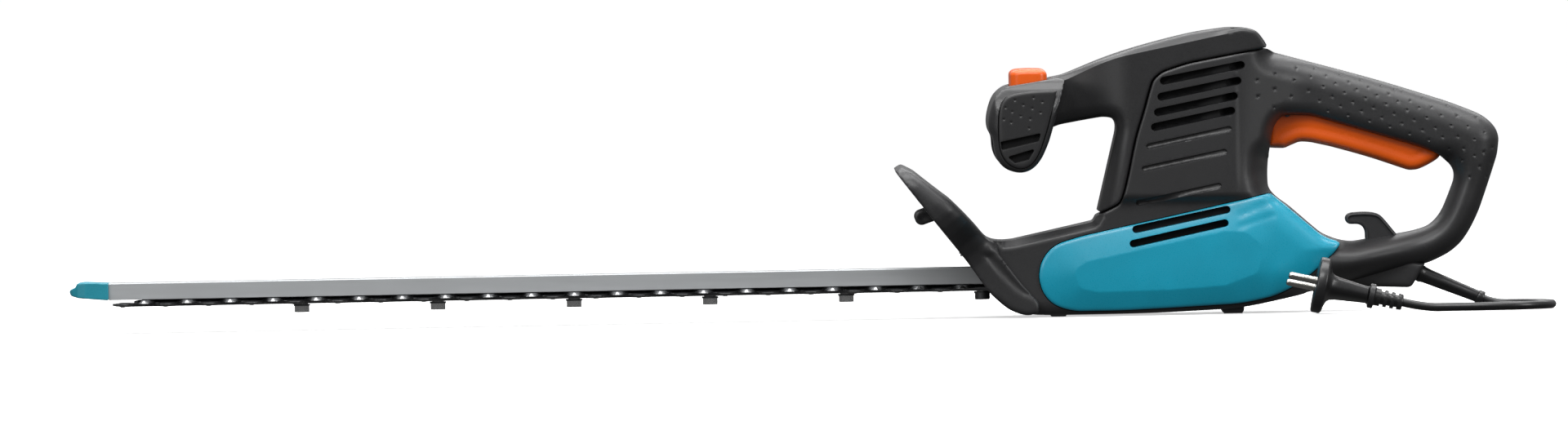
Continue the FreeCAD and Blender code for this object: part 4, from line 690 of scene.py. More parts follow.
def housing_half(name, sign):
    near = sign > 0
    loops = []
    slots = [obround(a[0], a[1], b[0], b[1], 2.75) for a, b in TOWER_SLOTS]
    grooves = [obround(a[0], a[1], b[0], b[1], 2.0) for a, b in TOWER_GROOVES]
    ends = []
    for a, b in TOWER_SLOTS:
        k = math.hypot(b[0] - a[0], b[1] - a[1])
        ux, uz = (b[0] - a[0]) / k, (b[1] - a[1]) / k
        ends.append(obround(b[0] - ux * 5.6, b[1] - uz * 5.6, b[0] - ux * 0.2, b[1] - uz * 0.2, 2.1))
    for s in slots:
        loops.append((s, (-0.25, 0.0, 0.4)))
    for s in ends:
        loops.append((s, (-0.3, 0.0, 0.4)))
    for s in grooves:
        loops.append((s, (-0.25, 0.0, 0.45, 1.1)))
    loops.append((PANEL_FINE, (-0.9, -0.25, 0.25, 1.0)))
    wells = []
    if not near:
        for (x, z) in SCREWS:
            c = [(x + 3.9 * math.cos(2 * math.pi * i / 20), z + 3.9 * math.sin(2 * math.pi * i / 20)) for i in range(20)]
            wells.append((x, z, c))
            if not (sdf(np.array([(x, z)]), PANEL_FINE)[0] > 4):
                loops.append((c, (-0.35, 0.0, 0.25)))
    R = Relief(whole, [loop], grid=1.7, loops=loops, pits=PITS)
    P = R.P
    W = housing_width(P)
    full = W.copy()
    d_free, d_loop, d_chan = dist_to(P, E_FREE, False), dist_to(P, E_LOOP, False), dist_to(P, E_CHAN, False)
    d_seam, d_base, d_nose, d_front = dist_to(P, E_SEAM, False), dist_to(P, E_BASE, False), dist_to(P, E_NOSE, False), dist_to(P, E_FRONT, False)
    Rg = 17.0
    H = W * prof(d_free, np.minimum(Rg, 12 + W * 0.3), 2.15) * prof(d_loop, Rg, 2.1)
    c = np.clip(11.6 / np.maximum(W, 12), 0, 1)
    H *= c + (1 - c) * prof(d_chan, 9.0, 2.0)
    H *= seam_prof(d_seam, W, 1.3)
    H *= 0.80 + 0.20 * prof(d_base, 9.0, 2.0)
    H *= 0.84 + 0.16 * (1 - np.clip(1 - d_nose / 4.6, 0, 1) ** 1.2)
    H *= 0.93 + 0.07 * prof(d_front, 3.0, 2.0)
    # seat of the coloured panel: a narrow dark joint round it
    s = sdf(P, PANEL_FINE)
    seat = smooth01((s + 0.25) / 0.5)
    H -= 2.2 * seat
    x, z = P[:, 0], P[:, 1]
    # air slots: floor, concave ramp and a deeper pit at the right end; the pits and the deep floor faces get painted
    # shade further down
    for (a, b), lo in zip(TOWER_SLOTS, slots):
        q = sdf(P, lo)
        k = math.hypot(b[0] - a[0], b[1] - a[1])
        t = ((x - a[0]) * (b[0] - a[0]) + (z - a[1]) * (b[1] - a[1])) / k
        s_up = (-(x - a[0]) * (b[1] - a[1]) + (z - a[1]) * (b[0] - a[0])) / k
        ramp = 1 - 0.55 * smooth01((t - k * 0.45) / (k * 0.30)) * (1 - smooth01((t - (k - 9.0)) / 6.0))
        wall = smooth01((q + 0.02) / 0.42) * (0.45 + 0.55 * smooth01((2.75 + s_up) / 2.2))
        H -= 4.6 * ramp * wall * (q > -0.3)
        qe = sdf(P, ends[TOWER_SLOTS.index((a, b))])
        H -= 1.6 * smooth01((qe + 0.02) / 0.42) * (qe > -0.3)
    for (a, b), lo in zip(TOWER_GROOVES, grooves):
        q = sdf(P, lo)
        k = math.hypot(b[0] - a[0], b[1] - a[1])
        t = ((x - a[0]) * (b[0] - a[0]) + (z - a[1]) * (b[1] - a[1])) / k
        s_up = (-(x - a[0]) * (b[1] - a[1]) + (z - a[1]) * (b[0] - a[0])) / k
        deep = 2.2 - 0.9 * smooth01((t - k * 0.4) / (k * 0.6))
        H -= deep * smooth01((q + 0.05) / 0.5) * (0.35 + 0.65 * smooth01((2.0 + s_up) / 2.0)) * (q > -0.3)
    # dimples of the grip
    C = np.array(PITS)
    for s0 in range(0, len(P), 4000):
        q = P[s0:s0 + 4000]
        dd = np.hypot(q[:, None, 0] - C[None, :, 0], q[:, None, 1] - C[None, :, 1]).min(1)
        H[s0:s0 + 4000] -= 0.75 * np.clip(1 - (dd / 1.0) ** 2, 0, 1)
    for (x0, z0, c0) in wells:
        q = sdf(P, c0)
        fl = np.minimum(H, 15.8)
        H = np.where(q > 0.12, np.where(q > 0.2, fl, H), H)
    H = np.maximum(H, 0)
    H[(R.edge_dist < 1e-6) & (np.minimum(d_free, d_loop) < 1e-6) & (d_chan > 2.5)] = 0.0

    def lip(u, v):
        return 6.0 if dist_to(np.array([(u, v)]), E_CHAN, False)[0] < 0.3 else 0

    ob = R.mesh(name, H, side if near else side_far, flip=not near, lip=lip)
    # painted shade: deep slot floors and the end pits take the near-black material
    dark = np.zeros(len(P), bool)
    for lo in ends:
        dark |= sdf(P, lo) > -0.01
    for (a, b), lo in zip(TOWER_SLOTS, slots):
        k = math.hypot(b[0] - a[0], b[1] - a[1])
        t = ((x - a[0]) * (b[0] - a[0]) + (z - a[1]) * (b[1] - a[1])) / k
        dark |= (sdf(P, lo) > 0.38) & (t > -5)
    paint_shade(ob, R.T, dark)
    return ob


def paint_shade(ob, T, dark):
    """Faces whose corners are all marked take the second, near-black material: painted shade."""
    ob.data.materials.append(M["charcoal"])
    ob.data.materials.append(M["void"])
    idx = np.zeros(len(ob.data.polygons), np.int32)
    idx[:len(T)] = dark[T].all(1).astype(np.int32)
    ob.data.polygons.foreach_set("material_index", idx)


def box_mesh(name, boxes, put=None, bevel=0.4, seg=2):
    bm = bmesh.new()
    for (x0, y0, z0, x1, y1, z1) in boxes:
        r = bmesh.ops.create_cube(bm, size=1.0)
        for v in r["verts"]:
            v.co = Vector(((x0 + x1) / 2 + v.co.x * (x1 - x0), (y0 + y1) / 2 + v.co.y * (y1 - y0), (z0 + z1) / 2 + v.co.z * (z1 - z0))) * 0.001
    if bevel:
        bmesh.ops.bevel(bm, geom=list(bm.edges), offset=bevel * 0.001, segments=seg, affect="EDGES", profile=0.5)
    me = bpy.data.meshes.new(name)
    bm.to_mesh(me)
    bm.free()
    ob = bpy.data.objects.new(name, me)
    scene.collection.objects.link(ob)
    me.polygons.foreach_set("use_smooth", [True] * len(me.polygons))
    me.set_sharp_from_angle(angle=math.radians(40))
    return ob


for nm, sg in (("shell_left", 1), ("shell_right", -1)):
    ob = housing_half(nm, sg)
    place(ob, "charcoal", "frame", "housing_left" if sg > 0 else "housing_right")
    # cord gland block and feet of this half
    gl = curve_line([(360.0, 17.0), (411.0, 14.9), (414.8, 16.6), (423.1, 30.2), (405.0, 33.0), (366.0, 24.0)], 1.6, 40)
    Rg_ = Relief(gl, grid=2.2, rings=(0.05, 0.4, 1.1, 2.0))
    Hg = 9.5 + 3.0 * prof(Rg_.edge_dist, 3.0, 2.0)
    go = Rg_.mesh("gland_" + nm[6:], Hg, side if sg > 0 else side_far, flip=sg < 0, rows=2)
    go.data.materials.append(M["charcoal"])
    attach(go, "frame")
    for k, (a, b) in enumerate(FEET):
        ft = curve_line([(a, 6), (a + 0.3, 2.2), (a + 1.6, 0.25), (b - 1.6, 0.25), (b - 0.3, 2.2), (b, 6)], 1.2, 30)
        Rf = Relief(ft, grid=2.0, rings=(0.1, 0.5, 1.2))
        Hf = 23.0 + 3.0 * prof(Rf.edge_dist, 2.0, 2.0)
        fo = Rf.mesh("foot_%s_%d" % (nm[6:], k), Hf, side if sg > 0 else side_far, flip=sg < 0, rows=2)
        fo.data.materials.append(M["charcoal"])
        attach(fo, "frame")


# ------------------------------------------------------------------ coloured side panels
def panel(name, near):
    vents = [obround(a[0], a[1], b[0], b[1], 2.6) for a, b in VENTS]
    facet = round_loop(FACET, 5.0)
    loops = [(facet, (-0.9, 0.0, 0.9))] + [(v, (-0.35, 0.0, 0.3, 0.7)) for v in vents]
    out = offset_line(PANEL_FINE, 0.28)
    outline = [tuple(q) for q in out[0][out[1]]]
    R = Relief(outline, grid=1.7, loops=loops, rings=(0.02, 0.1, 0.3, 0.7, 1.3, 2.1, 3.2, 4.6, 6.4, 8.6))
    P = R.P
    x, z = P[:, 0], P[:, 1]
    d = R.edge_dist
    top = 42.3 - 1.5 * np.clip((z - 44) / 34, 0, 1) ** 2 - 1.6 * np.clip((34 - z) / 30, 0, 1) ** 2
    top = top - 3.0 * smooth01((x - 300) / 70) ** 1.3
    q = sdf(P, facet)
    out_q = np.clip(-q / (np.clip(-q, 0, None) + np.maximum(d, 1e-6)), 0, 1)
    reach = np.where(x > 316, 0.25 + 0.75 * (1 - smooth01((x - 316) / 10)), 1.0)
    H = top - 4.2 * (reach * out_q ** 1.02 + (1 - reach) * np.clip(1 - d / 16.0, 0, 1) ** 1.7) - 0.9 * (1 - prof(d, 2.2, 2.0))
    # two swoosh creases running to the rear
    for (u0, v0), (u1, v1), (u2, v2), dep in (((1517, 262), (1540, 252), (1559, 246), 0.55), ((1517, 276), (1540, 268), (1559, 262), 0.5)):
        a, b, c = from_view(u0, v0), from_view(u1, v1), from_view(u2, v2)
        line = curve_line([a, b, c], 1.5, 60, closed=False)
        dl = dist_to(P, line, False)
        H -= 0.7 * dep * np.exp(-(dl / 1.9) ** 2)
    for v in vents:
        q = sdf(P, v)
        H -= 6.5 * smooth01((q + 0.02) / 0.5) * (q > -0.2)
    # the rear upper edge wraps inwards over the loop's edge
    d_le = dist_to(P, E_LOOP, False)
    wrap = 1 - prof(d_le, 9.0, 2.0)
    H = np.maximum(H - 6.5 * wrap, 34.4 - 14.0 * wrap)
    low = np.minimum(35.0 - 27.0 * smooth01((12.5 - d_le) / 9.0), H - 0.6)
    ob = R.mesh(name, H, side if near else side_far, floor=low, flip=not near, rows=3, close=True)
    # painted shade: the deep faces of the vents take the near-black material
    dark = np.zeros(len(P), bool)
    for v in vents:
        dark |= sdf(P, v) > 0.27
    paint_shade(ob, R.T, dark)
    return ob


place(panel("panel_left", True), "turquoise", "frame", "side_panel_left")
place(panel("panel_right", False), "turquoise", "frame", "side_panel_right")

# ------------------------------------------------------------------ cap and arm
arm_line = curve_line(ARM, 1.8, 50)
A_SEAM = cut_line(arm_line, (209.2, 68.7), (319.6, 175.6))
A_TOP = cut_line(arm_line, (320.2, 177.4), (178.4, 158.3))
A_UNDER = cut_line(arm_line, (178.4, 125.2), (207.4, 69.8))
RIDGE = curve_line([(182.0, 154.6), (190.0, 157.4)] + [from_view(a, b) for a, b in ((1340, 80.5), (1363, 71.4), (1386, 65.4), (1455, 50.6), (1501, 40.6), (1524, 36.6), (1536, 41), (1548, 56.0))],
                   1.6, 60, closed=False)
R = Relief(arm_line, grid=1.7, loops=[(RIDGE, (99,))])
P = R.P
x, z = P[:, 0], P[:, 1]
front = smooth01((x - 186) / 46)
d_rid = dist_to(P, RIDGE, False)
ridge_z = np.interp(x, [q[0] for q in RIDGE[:-8]], [q[1] for q in RIDGE[:-8]])
over = inside(P, RIDGE + cut_line(arm_line, (320.2, 177.4), (178.4, 158.3)))
W = 23.8 + 15.2 * front
W = W - 6 * smooth01((90 - z) / 30) * 0
d_top, d_seam, d_und = dist_to(P, A_TOP, False), dist_to(P, A_SEAM, False), dist_to(P, A_UNDER, False)
d_front = np.abs(x - 178.4)
band = 4.5 + 5.5 * smooth01((x - 215) / 60)
H = W - (3.5 + 5.0 * smooth01((x - 200) / 60)) * (1 - smooth01((x - 276) / 30)) * np.where(over, d_rid / np.maximum(d_rid + d_top, 1e-6), 0) ** 0.95
H -= 2.2 * (1 - prof(d_top, 2.6, 2.0))
H -= 1.3 * (1 - np.sqrt(1 - np.clip(1 - d_seam / 1.3, 0, 1) ** 2)) * (d_top > 3)
H -= 7.0 * (1 - prof(d_und, 9.0, 2.0))
arm = R.mesh("arm_cap", H, side, both=True, rows=8)
place(arm, "arm", "frame", "handle_arm")


# ------------------------------------------------------------------ remeshed solids
def apply_mods(ob):
    dg = bpy.context.evaluated_depsgraph_get()
    ev = ob.evaluated_get(dg)
    me = bpy.data.meshes.new_from_object(ev)
    old = ob.data
    ob.modifiers.clear()
    ob.data = me
    bpy.data.meshes.remove(old)
    return ob


def prism(name, line, put, h0, h1):
    n = len(line)
    verts = [put(u, v, h0) for u, v in line] + [put(u, v, h1) for u, v in line]
    faces = [tuple(range(n)), tuple(range(2 * n - 1, n - 1, -1))]
    faces += [(i, n + i, n + (i + 1) % n, (i + 1) % n) for i in range(n)]
    ob = new_mesh(name, verts, faces, smooth=False)
    bm = bmesh.new()
    bm.from_mesh(ob.data)
    bmesh.ops.recalc_face_normals(bm, faces=bm.faces)
    bm.to_mesh(ob.data)
    bm.free()
    return ob


def boolean(ob, other, op):
    m = ob.modifiers.new("b", "BOOLEAN")
    m.operation = op
    m.object = other
    m.solver = "EXACT"
    bpy.context.view_layer.update()
    apply_mods(ob)
    bpy.data.objects.remove(other)
    return ob


def remesh(ob, voxel, smooth_by, factor=0.5):
    m = ob.modifiers.new("r", "REMESH")
    m.mode = "VOXEL"
    m.voxel_size = voxel * 0.001
    if smooth_by:
        s = ob.modifiers.new("s", "SMOOTH")
        s.factor = factor
        s.iterations = smooth_by
    bpy.context.view_layer.update()
    apply_mods(ob)
    ob.data.polygons.foreach_set("use_smooth", [True] * len(ob.data.polygons))
    return ob


def front_view(u, v, h):
    return (h * 0.001, u * 0.001, v * 0.001)


BOWV = [(186.6, 157.0), (181.0, 158.2), (175.6, 157.2), (163.0, 155.2), (150.4, 153.3), (144.9, 150.8), (140.0, 145.6), (137.0, 138.0), (135.6, 130.4),
        (136.2, 124.2), (138.4, 119.6), (139.2, 111.4), (140.8, 106.2), (143.6, 101.9), (147.6, 98.8), (153.0, 96.9), (157.5, 96.6), (161.8, 97.7),
        (165.8, 100.3), (168.9, 103.8), (171.6, 108.2), (175.6, 117.6), (179.6, 131.0), (184.2, 147.0)]
PADV = [(181.4, 150.6), (170.0, 150.4), (158.0, 149.4), (149.0, 147.2), (143.8, 141.6), (141.8, 131.0), (142.0, 116.0), (144.0, 108.0), (148.0, 102.4), (153.4, 99.4),
        (158.6, 99.2), (163.2, 101.4), (167.2, 106.0), (170.6, 113.0), (175.4, 127.4)]
bow_line = curve_line(BOWV, 1.8, 60)
R = Relief(bow_line, grid=3.0)
H = 76.0 - 4.6 * (1 - prof(dist_to(R.P, bow_line), 4.6, 2.0)) - 4.0 * smooth01((150 - R.P[:, 0]) / 16) ** 2
bow = R.mesh("bow", H, side, both=True, rows=24)
arch = [(-53, 60), (-53, 103), (-51.8, 109), (-48.4, 114.2), (-43, 117.7), (-37, 119), (37, 119), (43, 117.7), (48.4, 114.2), (51.8, 109), (53, 103), (53, 60),
        (90, 60), (90, 131)]
arcp = [(76.3, 131), (74.6, 138.5), (71.2, 145.6), (67.2, 151.2), (61.2, 155.8), (54.0, 158.6), (46.0, 160.0), (40.0, 170.0)]
arch = arch[:-2] + [(90, 60)] + [(90, 131)] + arcp + [(-a, b) for a, b in arcp[::-1]] + [(-90, 131), (-90, 60)]
boolean(bow, prism("arch", arch, front_view, 120, 190), "INTERSECT")
remesh(bow, 1.0, 6)
boolean(bow, prism("well", round_loop([(150.2, -43.2), (175.9, -43.2), (175.9, 43.2), (150.2, 43.2)], 6), flat, 134, 180), "DIFFERENCE")
pad_line = curve_line(PADV, 1.6, 50)
for sg in (-1, 1):
    boolean(bow, prism("seat", pad_line, side_far, sg * 70.6, sg * 90), "DIFFERENCE")
bow.data.polygons.foreach_set("use_smooth", [True] * len(bow.data.polygons))
bow.data.set_sharp_from_angle(angle=math.radians(36))
place(bow, "arm", "frame", "front_handle")

FRONT_PITS = [(259, 425), (353, 413), (301, 449), (397, 434), (211, 463), (347, 467), (245, 484), (288, 506), (388, 488), (203, 522), (240, 538),
              (336, 520), (330, 567)]
FP = [from_near(1180 + a / 4.126, 20 + b / 4.126, 76) for a, b in FRONT_PITS]
REC = [[(1224.8, 174), (1275, 163), (1272.3, 173.5), (1226.4, 184.5)], [(1233, 192.6), (1268.5, 181.8), (1260, 196), (1243, 200.6)]]
for nm, near in (("left", True), ("right", False)):
    ofs = offset_line(pad_line, 0.3)
    pl = [tuple(q) for q in ofs[0][ofs[1]]]
    rec = [round_loop([from_near(a, b, 76) for a, b in r], 1.0, 3) for r in REC]
    rec = [r for r in rec if sdf(np.array(r), pl).min() > 0.4]
    R = Relief(pl, grid=1.3, rings=(0.05, 0.25, 0.6, 1.1, 1.8, 2.8), loops=[(r, (-0.3, 0, 0.5)) for r in rec], pits=FP)
    P = R.P
    H = 75.3 - 1.0 * (1 - prof(R.edge_dist, 2.2, 2.0)) - 3.4 * smooth01((150 - P[:, 0]) / 16) ** 2
    for r in rec:
        q = sdf(P, r)
        H -= 2.6 * smooth01((q + 0.05) / 0.55) * (q > -0.25)
    C = np.array(FP)
    dd = np.hypot(P[:, None, 0] - C[None, :, 0], P[:, None, 1] - C[None, :, 1]).min(1)
    H -= 0.6 * np.clip(1 - (dd / 0.9) ** 2, 0, 1) ** 1.2
    ob = R.mesh("pad_" + nm, H, side if near else side_far, floor=70.8, flip=not near, rows=2, close=True)
    # painted shade: the deep faces of the recesses take the near-black material
    dk = np.zeros(len(P), bool)
    for r in rec:
        dk |= sdf(P, r) > 0.4
    paint_shade(ob, R.T, dk)
    place(ob, "grip", "frame", "grip_pad_" + nm)

# ------------------------------------------------------------------ front press bar
pl = round_loop([(150.9, -42.3), (175.2, -42.3), (175.2, 42.3), (150.9, 42.3)], 6.5, 8)
R = Relief(pl, grid=1.8, rings=(0.02, 0.12, 0.35, 0.8, 1.5, 2.4, 3.6, 5.0))
P = R.P
H = 164.5 - 3.6 * (1 - prof(R.edge_dist, 4.6, 2.2)) - 0.7 * (np.abs(P[:, 0] - 163) / 12) ** 2 - 0.5 * (P[:, 1] / 42) ** 2
bar = R.mesh("press_bar", H, flat, floor=147.05, rows=6, close=True)
place(bar, "orange", "switch_bar", "front_switch_bar")

# ------------------------------------------------------------------ trigger
TRIGV = [(319.6, 109.0), (331.1, 108.4), (336.0, 110.2), (341.4, 112.2), (345.7, 112.3), (351.2, 111.5), (365.1, 108.1), (388.6, 101.0), (412.3, 92.7),
         (417.2, 92.4), (421.0, 93.2), (427.0, 95.9), (433.0, 99.6), (435.6, 103.0), (432.6, 107.4), (414.0, 114.6), (356.0, 132.3), (346.0, 135.4), (334.0, 137.0),
         (324.0, 136.4), (319.8, 128.0)]
tl = curve_line(TRIGV, 1.8, 50)
R = Relief(tl, grid=1.6)
P = R.P
H = 10.0 * prof(R.edge_dist, 5.5, 2.4)
low = cut_line(tl, (336.0, 110.2), (427.0, 95.9))
dl = dist_to(P, low, False)
H -= 0.5 * np.exp(-((dl - 9.5) / 1.6) ** 2)
H = np.where(R.edge_dist < 1e-6, 0, np.maximum(H, 0))
trg = R.mesh("trigger_lever", H, side, both=True)
place(trg, "orange", "trigger", "rear_trigger")

# ------------------------------------------------------------------ cable hook
hl = curve_line(HOOK, 1.2, 50)
R = Relief(hl, grid=1.2, rings=(0.012, 0.07, 0.25, 0.6, 1.1, 1.7, 2.3, 3.0))
H = 8.0 - 1.6 * (1 - prof(R.edge_dist, 1.5, 2.0)) - 1.3 * smooth01((R.edge_dist - 1.7) / 0.7)
hk = R.mesh("hook", H, side, both=True, rows=5)
place(hk, "charcoal", "frame", "cable_hook")

# ------------------------------------------------------------------ hand guard
fl = curve_line(FRONT, 1.5, 70, closed=False)
fs = [0.0]
for a, b in zip(fl[:-1], fl[1:]):
    fs.append(fs[-1] + math.hypot(b[0] - a[0], b[1] - a[1]))
FX, FZ = np.array([p[0] for p in fl]), np.array([p[1] for p in fl])
FS = np.array(fs)
TOTAL = fs[-1] - 9.0


def s_of_z(zz):
    return float(np.interp(-zz, -FZ, FS))


def along(P):
    """Length along the front line of the nearest place on it."""
    A, B = np.array(fl[:-1], float), np.array(fl[1:], float)
    D = B - A
    L2 = np.maximum((D ** 2).sum(1), 1e-12)
    s = np.zeros(len(P))
    for k in range(0, len(P), 4000):
        Q = P[k:k + 4000]
        t = np.clip(((Q[:, None, :] - A[None]) * D[None]).sum(2) / L2, 0, 1)
        d = np.hypot(Q[:, None, 0] - A[None, :, 0] - t * D[None, :, 0], Q[:, None, 1] - A[None, :, 1] - t * D[None, :, 1])
        j = d.argmin(1)
        s[k:k + 4000] = FS[j] + t[np.arange(len(Q)), j] * np.sqrt(L2[j])
    return s


def behind(u, h):
    """A place h mm behind the front line at the length u along it."""
    xx, zz = np.interp(u, FS, FX), np.interp(u, FS, FZ)
    e = 4.0
    dx = np.interp(u + e, FS, FX) - np.interp(u - e, FS, FX)
    dz = np.interp(u + e, FS, FZ) - np.interp(u - e, FS, FZ)
    k = math.hypot(dx, dz)
    return float(xx - dz / k * h), float(zz + dx / k * h)


s66, s36 = s_of_z(62.0), s_of_z(37.0)
WID_S = [0.0, 0.8, 2.0, 5.0, 9.8, 16.0, s66 - 12, s66 - 4, s66 + 3, s66 + 9.5, s66 + 15, s66 + 20, s36 - 3, s36 + 4, TOTAL]
WID_Y = [60.0, 66.0, 71.5, 77.0, 80.4, 81.8, 81.8, 80.8, 77.0, 69.6, 59.0, 50.0, 43.2, 41.2, 40.8]
DEP_S, DEP_H = [0, 9, 31.6, 35, 50, 62], [5.2, 9.2, 14.8, 16.0, 18.2, 19.2]
BACK = [behind(u, np.interp(u, DEP_S, DEP_H)) for u in (0.5, 5, 9, 16, 24, 31.6, 38, 46, 54, 62)]
BACK_LINE = BACK + [(133.2, 53.7), (138.4, 51.4), (143.4, 50.6)]
g_out = FRONT[:-1] + [(161.0, 1.9), (167.0, 3.4), (167.6, 8.0)] + LEAF_A[::-3] + [(141.4, 46.0)] + BACK_LINE[::-1]
g_line = curve_line(g_out, 2.0, 46)
R = Relief(g_line, grid=2.6)
P = R.P
s_g = along(P)
d_back = dist_to(P, curve_line(BACK_LINE, 2.0, 60, closed=False), False)
d_leaf = dist_to(P, LEAF_A, False)
lower = smooth01((54 - P[:, 1]) / 12)
H = np.interp(s_g, WID_S, WID_Y) - 7.5 * (1 - prof(d_back, 9.0, 2.0))
LEAF_L = curve_line([(129.5, 42.7), (136.0, 34.6), (142.2, 27.7), (149.6, 20.2), (156.8, 14.8), (166.3, 11.4)], 2.0, 60, closed=False)
scoop = LEAF_L + LEAF_A[::-1]
d_l = dist_to(P, LEAF_L, False)
f_l = d_l / np.maximum(d_l + d_leaf, 1e-6)
H -= np.where(inside(P, scoop), 3.0 * (1 - f_l) * smooth01(d_l / 3.0), 0)
H -= 4.2 * (1 - smooth01(np.hypot(P[:, 0] - 143.4, P[:, 1] - 48.4) / 8.5))
H -= 2.6 * lower * (1 - prof(R.edge_dist, 2.6, 2.0)) * smooth01((20 - P[:, 1]) / 10)
gd = R.mesh("guard_plate", H, side, both=True, rows=40)
IN_BACK = [behind(u, np.interp(u, DEP_S, DEP_H) - 2.9) for u in (6.0, 10, 16, 24, 31.6, 38, 46, 54, 62)]
s_end = s36 - 3
in_out = [behind(s_end, -4.0), behind(s_end, 3.5)] + [behind(s_end - 7, 9.0)] + IN_BACK[::-1] + [behind(6.0, -4.0)]
in_line = curve_line(in_out, 2.4, 40)
R = Relief(in_line, grid=3.0, rings=(0.05, 0.6, 1.6, 3.0, 5.0))
s_i = along(R.P)
H = np.minimum(np.interp(s_i - 3.4, WID_S, WID_Y), np.interp(s_i + 5.0, WID_S, WID_Y)) - 3.0 - 6.0 * (1 - prof(dist_to(R.P, curve_line(IN_BACK, 2.0, 60, closed=False), False), 7.0, 2.0))
boolean(gd, R.mesh("guard_hollow", H, side, both=True, rows=30), "DIFFERENCE")
boolean(gd, prism("window", round_loop([(-33.5, 8.0), (33.5, 8.0), (33.5, 36.0), (-33.5, 36.0)], 3), front_view, 100, 190), "DIFFERENCE")
remesh(gd, 1.0, 5)
place(gd, "charcoal", "frame", "hand_guard")
for sg in (-1, 1):
    pg = obround(91.0, 67.2, 107.5, 72.8, 4.5, 12)
    R = Relief(pg, grid=2.0, rings=(0.05, 0.3, 0.8, 1.5))
    H = 4.5 - 1.2 * (1 - prof(R.edge_dist, 1.6, 2.0)) - 0.6 * smooth01((R.edge_dist - 2.4) / 0.8)

    def peg_put(a, b, h, sg=sg):
        return (a * 0.001, (sg * 34 - h) * 0.001, b * 0.001)

    pg_o = R.mesh("peg_%s" % ("a" if sg < 0 else "b"), H, peg_put, both=True, rows=3)
    pg_o.data.materials.append(M["charcoal"])
    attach(pg_o, "frame")


# ------------------------------------------------------------------ knives
def knife(name, zb, first, up, body, node):
    pitch, n, root, tipw, reach, spine = 28.4, 20, 6.6, 3.1, 29.5, 12.2
    top, bot = [], []
    for i in range(n):
        cx = first + pitch * i
        for s, store in ((1, top), (-1, bot)):
            store.append([(cx - root - 2.2, s * spine), (cx - root - 0.4, s * (spine + 1.2)), (cx - root * 0.62, s * (spine + 6.5)), (cx - tipw, s * (reach - 1.4)), (cx - tipw * 0.45, s * reach),
                          (cx + tipw * 0.45, s * reach), (cx + tipw, s * (reach - 1.4)), (cx + root * 0.62, s * (spine + 6.5)), (cx + root + 0.4, s * (spine + 1.2)), (cx + root + 2.2, s * spine)])
    x0, x1 = first - 7.6, 244.0
    end = [(206.0, 12.2), (214, 18), (220, 26.3), (268, 26.3), (268, -26.3), (220, -26.3), (214, -18), (206.0, -12.2)]
    line = [(x0, 0), (x0 + 2.6, -4.0)] + [p for t in bot for p in t if p[0] > x0 + 4]
    line = [p for p in line if p[0] < 205]
    up_side = [p for t in top for p in t if p[0] > x0 + 4 and p[0] < 205]
    outline = line + [(end[7][0], end[7][1]), end[6], end[5], end[4], end[3], end[2], end[1], end[0]] + up_side[::-1] + [(x0 + 2.6, 4.0)]
    fine = []
    for i in range(len(outline)):
        p, q = outline[i], outline[(i + 1) % len(outline)]
        k = max(1, int(math.hypot(q[0] - p[0], q[1] - p[1]) / 4.0))
        fine += [(p[0] + (q[0] - p[0]) * j / k, p[1] + (q[1] - p[1]) * j / k) for j in range(k)]
    holes = [obround(-319.5 + 90 * i - 7.6, 0, -319.5 + 90 * i + 7.6, 0, 4.4, 8) for i in range(6)]
    hx, hy = 14 + 1.8, 14 + 7.1 + 1.0
    holes.append(round_loop([(244 - hx, -hy), (244 + hx, -hy), (244 + hx, hy), (244 - hx, hy)], 1.0, 3))
    R = Relief(fine, holes, grid=7.0, rings=(0.08, 2.3))
    d = dist_to(R.P, fine)
    tooth = smooth01((np.abs(R.P[:, 1]) - 11.5) / 1.5) * (R.P[:, 0] < 204)
    h = 2.0 * np.where(tooth > 0, np.minimum(1, 0.12 + d / 2.5), np.minimum(1, 0.6 + d / 0.8))
    if up:
        ob = R.mesh(name, zb + h, flat, floor=zb, rows=1, close=True)
    else:
        ob = R.mesh(name, zb + 2.0 - h, flat, floor=zb + 2.0, rows=1, close=True, flip=True)
    ob.data.set_sharp_from_angle(angle=math.radians(14))
    place(ob, "knife", body, node)
    return ob


knife("knife_upper", 20.1, -422.9, True, "knife_up", "upper_knife")
knife("knife_lower", 17.9, -437.1, False, "knife_low", "lower_knife")


# ------------------------------------------------------------------ blade tip cover, moulded edges
src = NODES["tip_guard"]
tipc = new_mesh("tip_cover", [src.matrix_world @ v.co for v in src.data.vertices], [tuple(p.vertices) for p in src.data.polygons])
bm = bmesh.new()
bm.from_mesh(tipc.data)
bmesh.ops.remove_doubles(bm, verts=bm.verts, dist=2e-5)
bm.to_mesh(tipc.data)
bm.free()
remesh(tipc, 0.5, 6)
place(tipc, "tip", "frame", "tip_guard")


# ------------------------------------------------------------------ guard screws, seated on the hollow's floor
src = NODES["guard_screws"]
fx_slot = next(e["material_slot"] for e in frame["record"]["subparts"] if e.get("node") == "guard_screws")
fixings = new_mesh("guard_fixings", [src.matrix_world @ v.co + Vector((0.0035, 0, 0)) for v in src.data.vertices], [tuple(p.vertices) for p in src.data.polygons])
place(fixings, BY_SLOT[fx_slot], "frame", "guard_screws", slot=fx_slot)


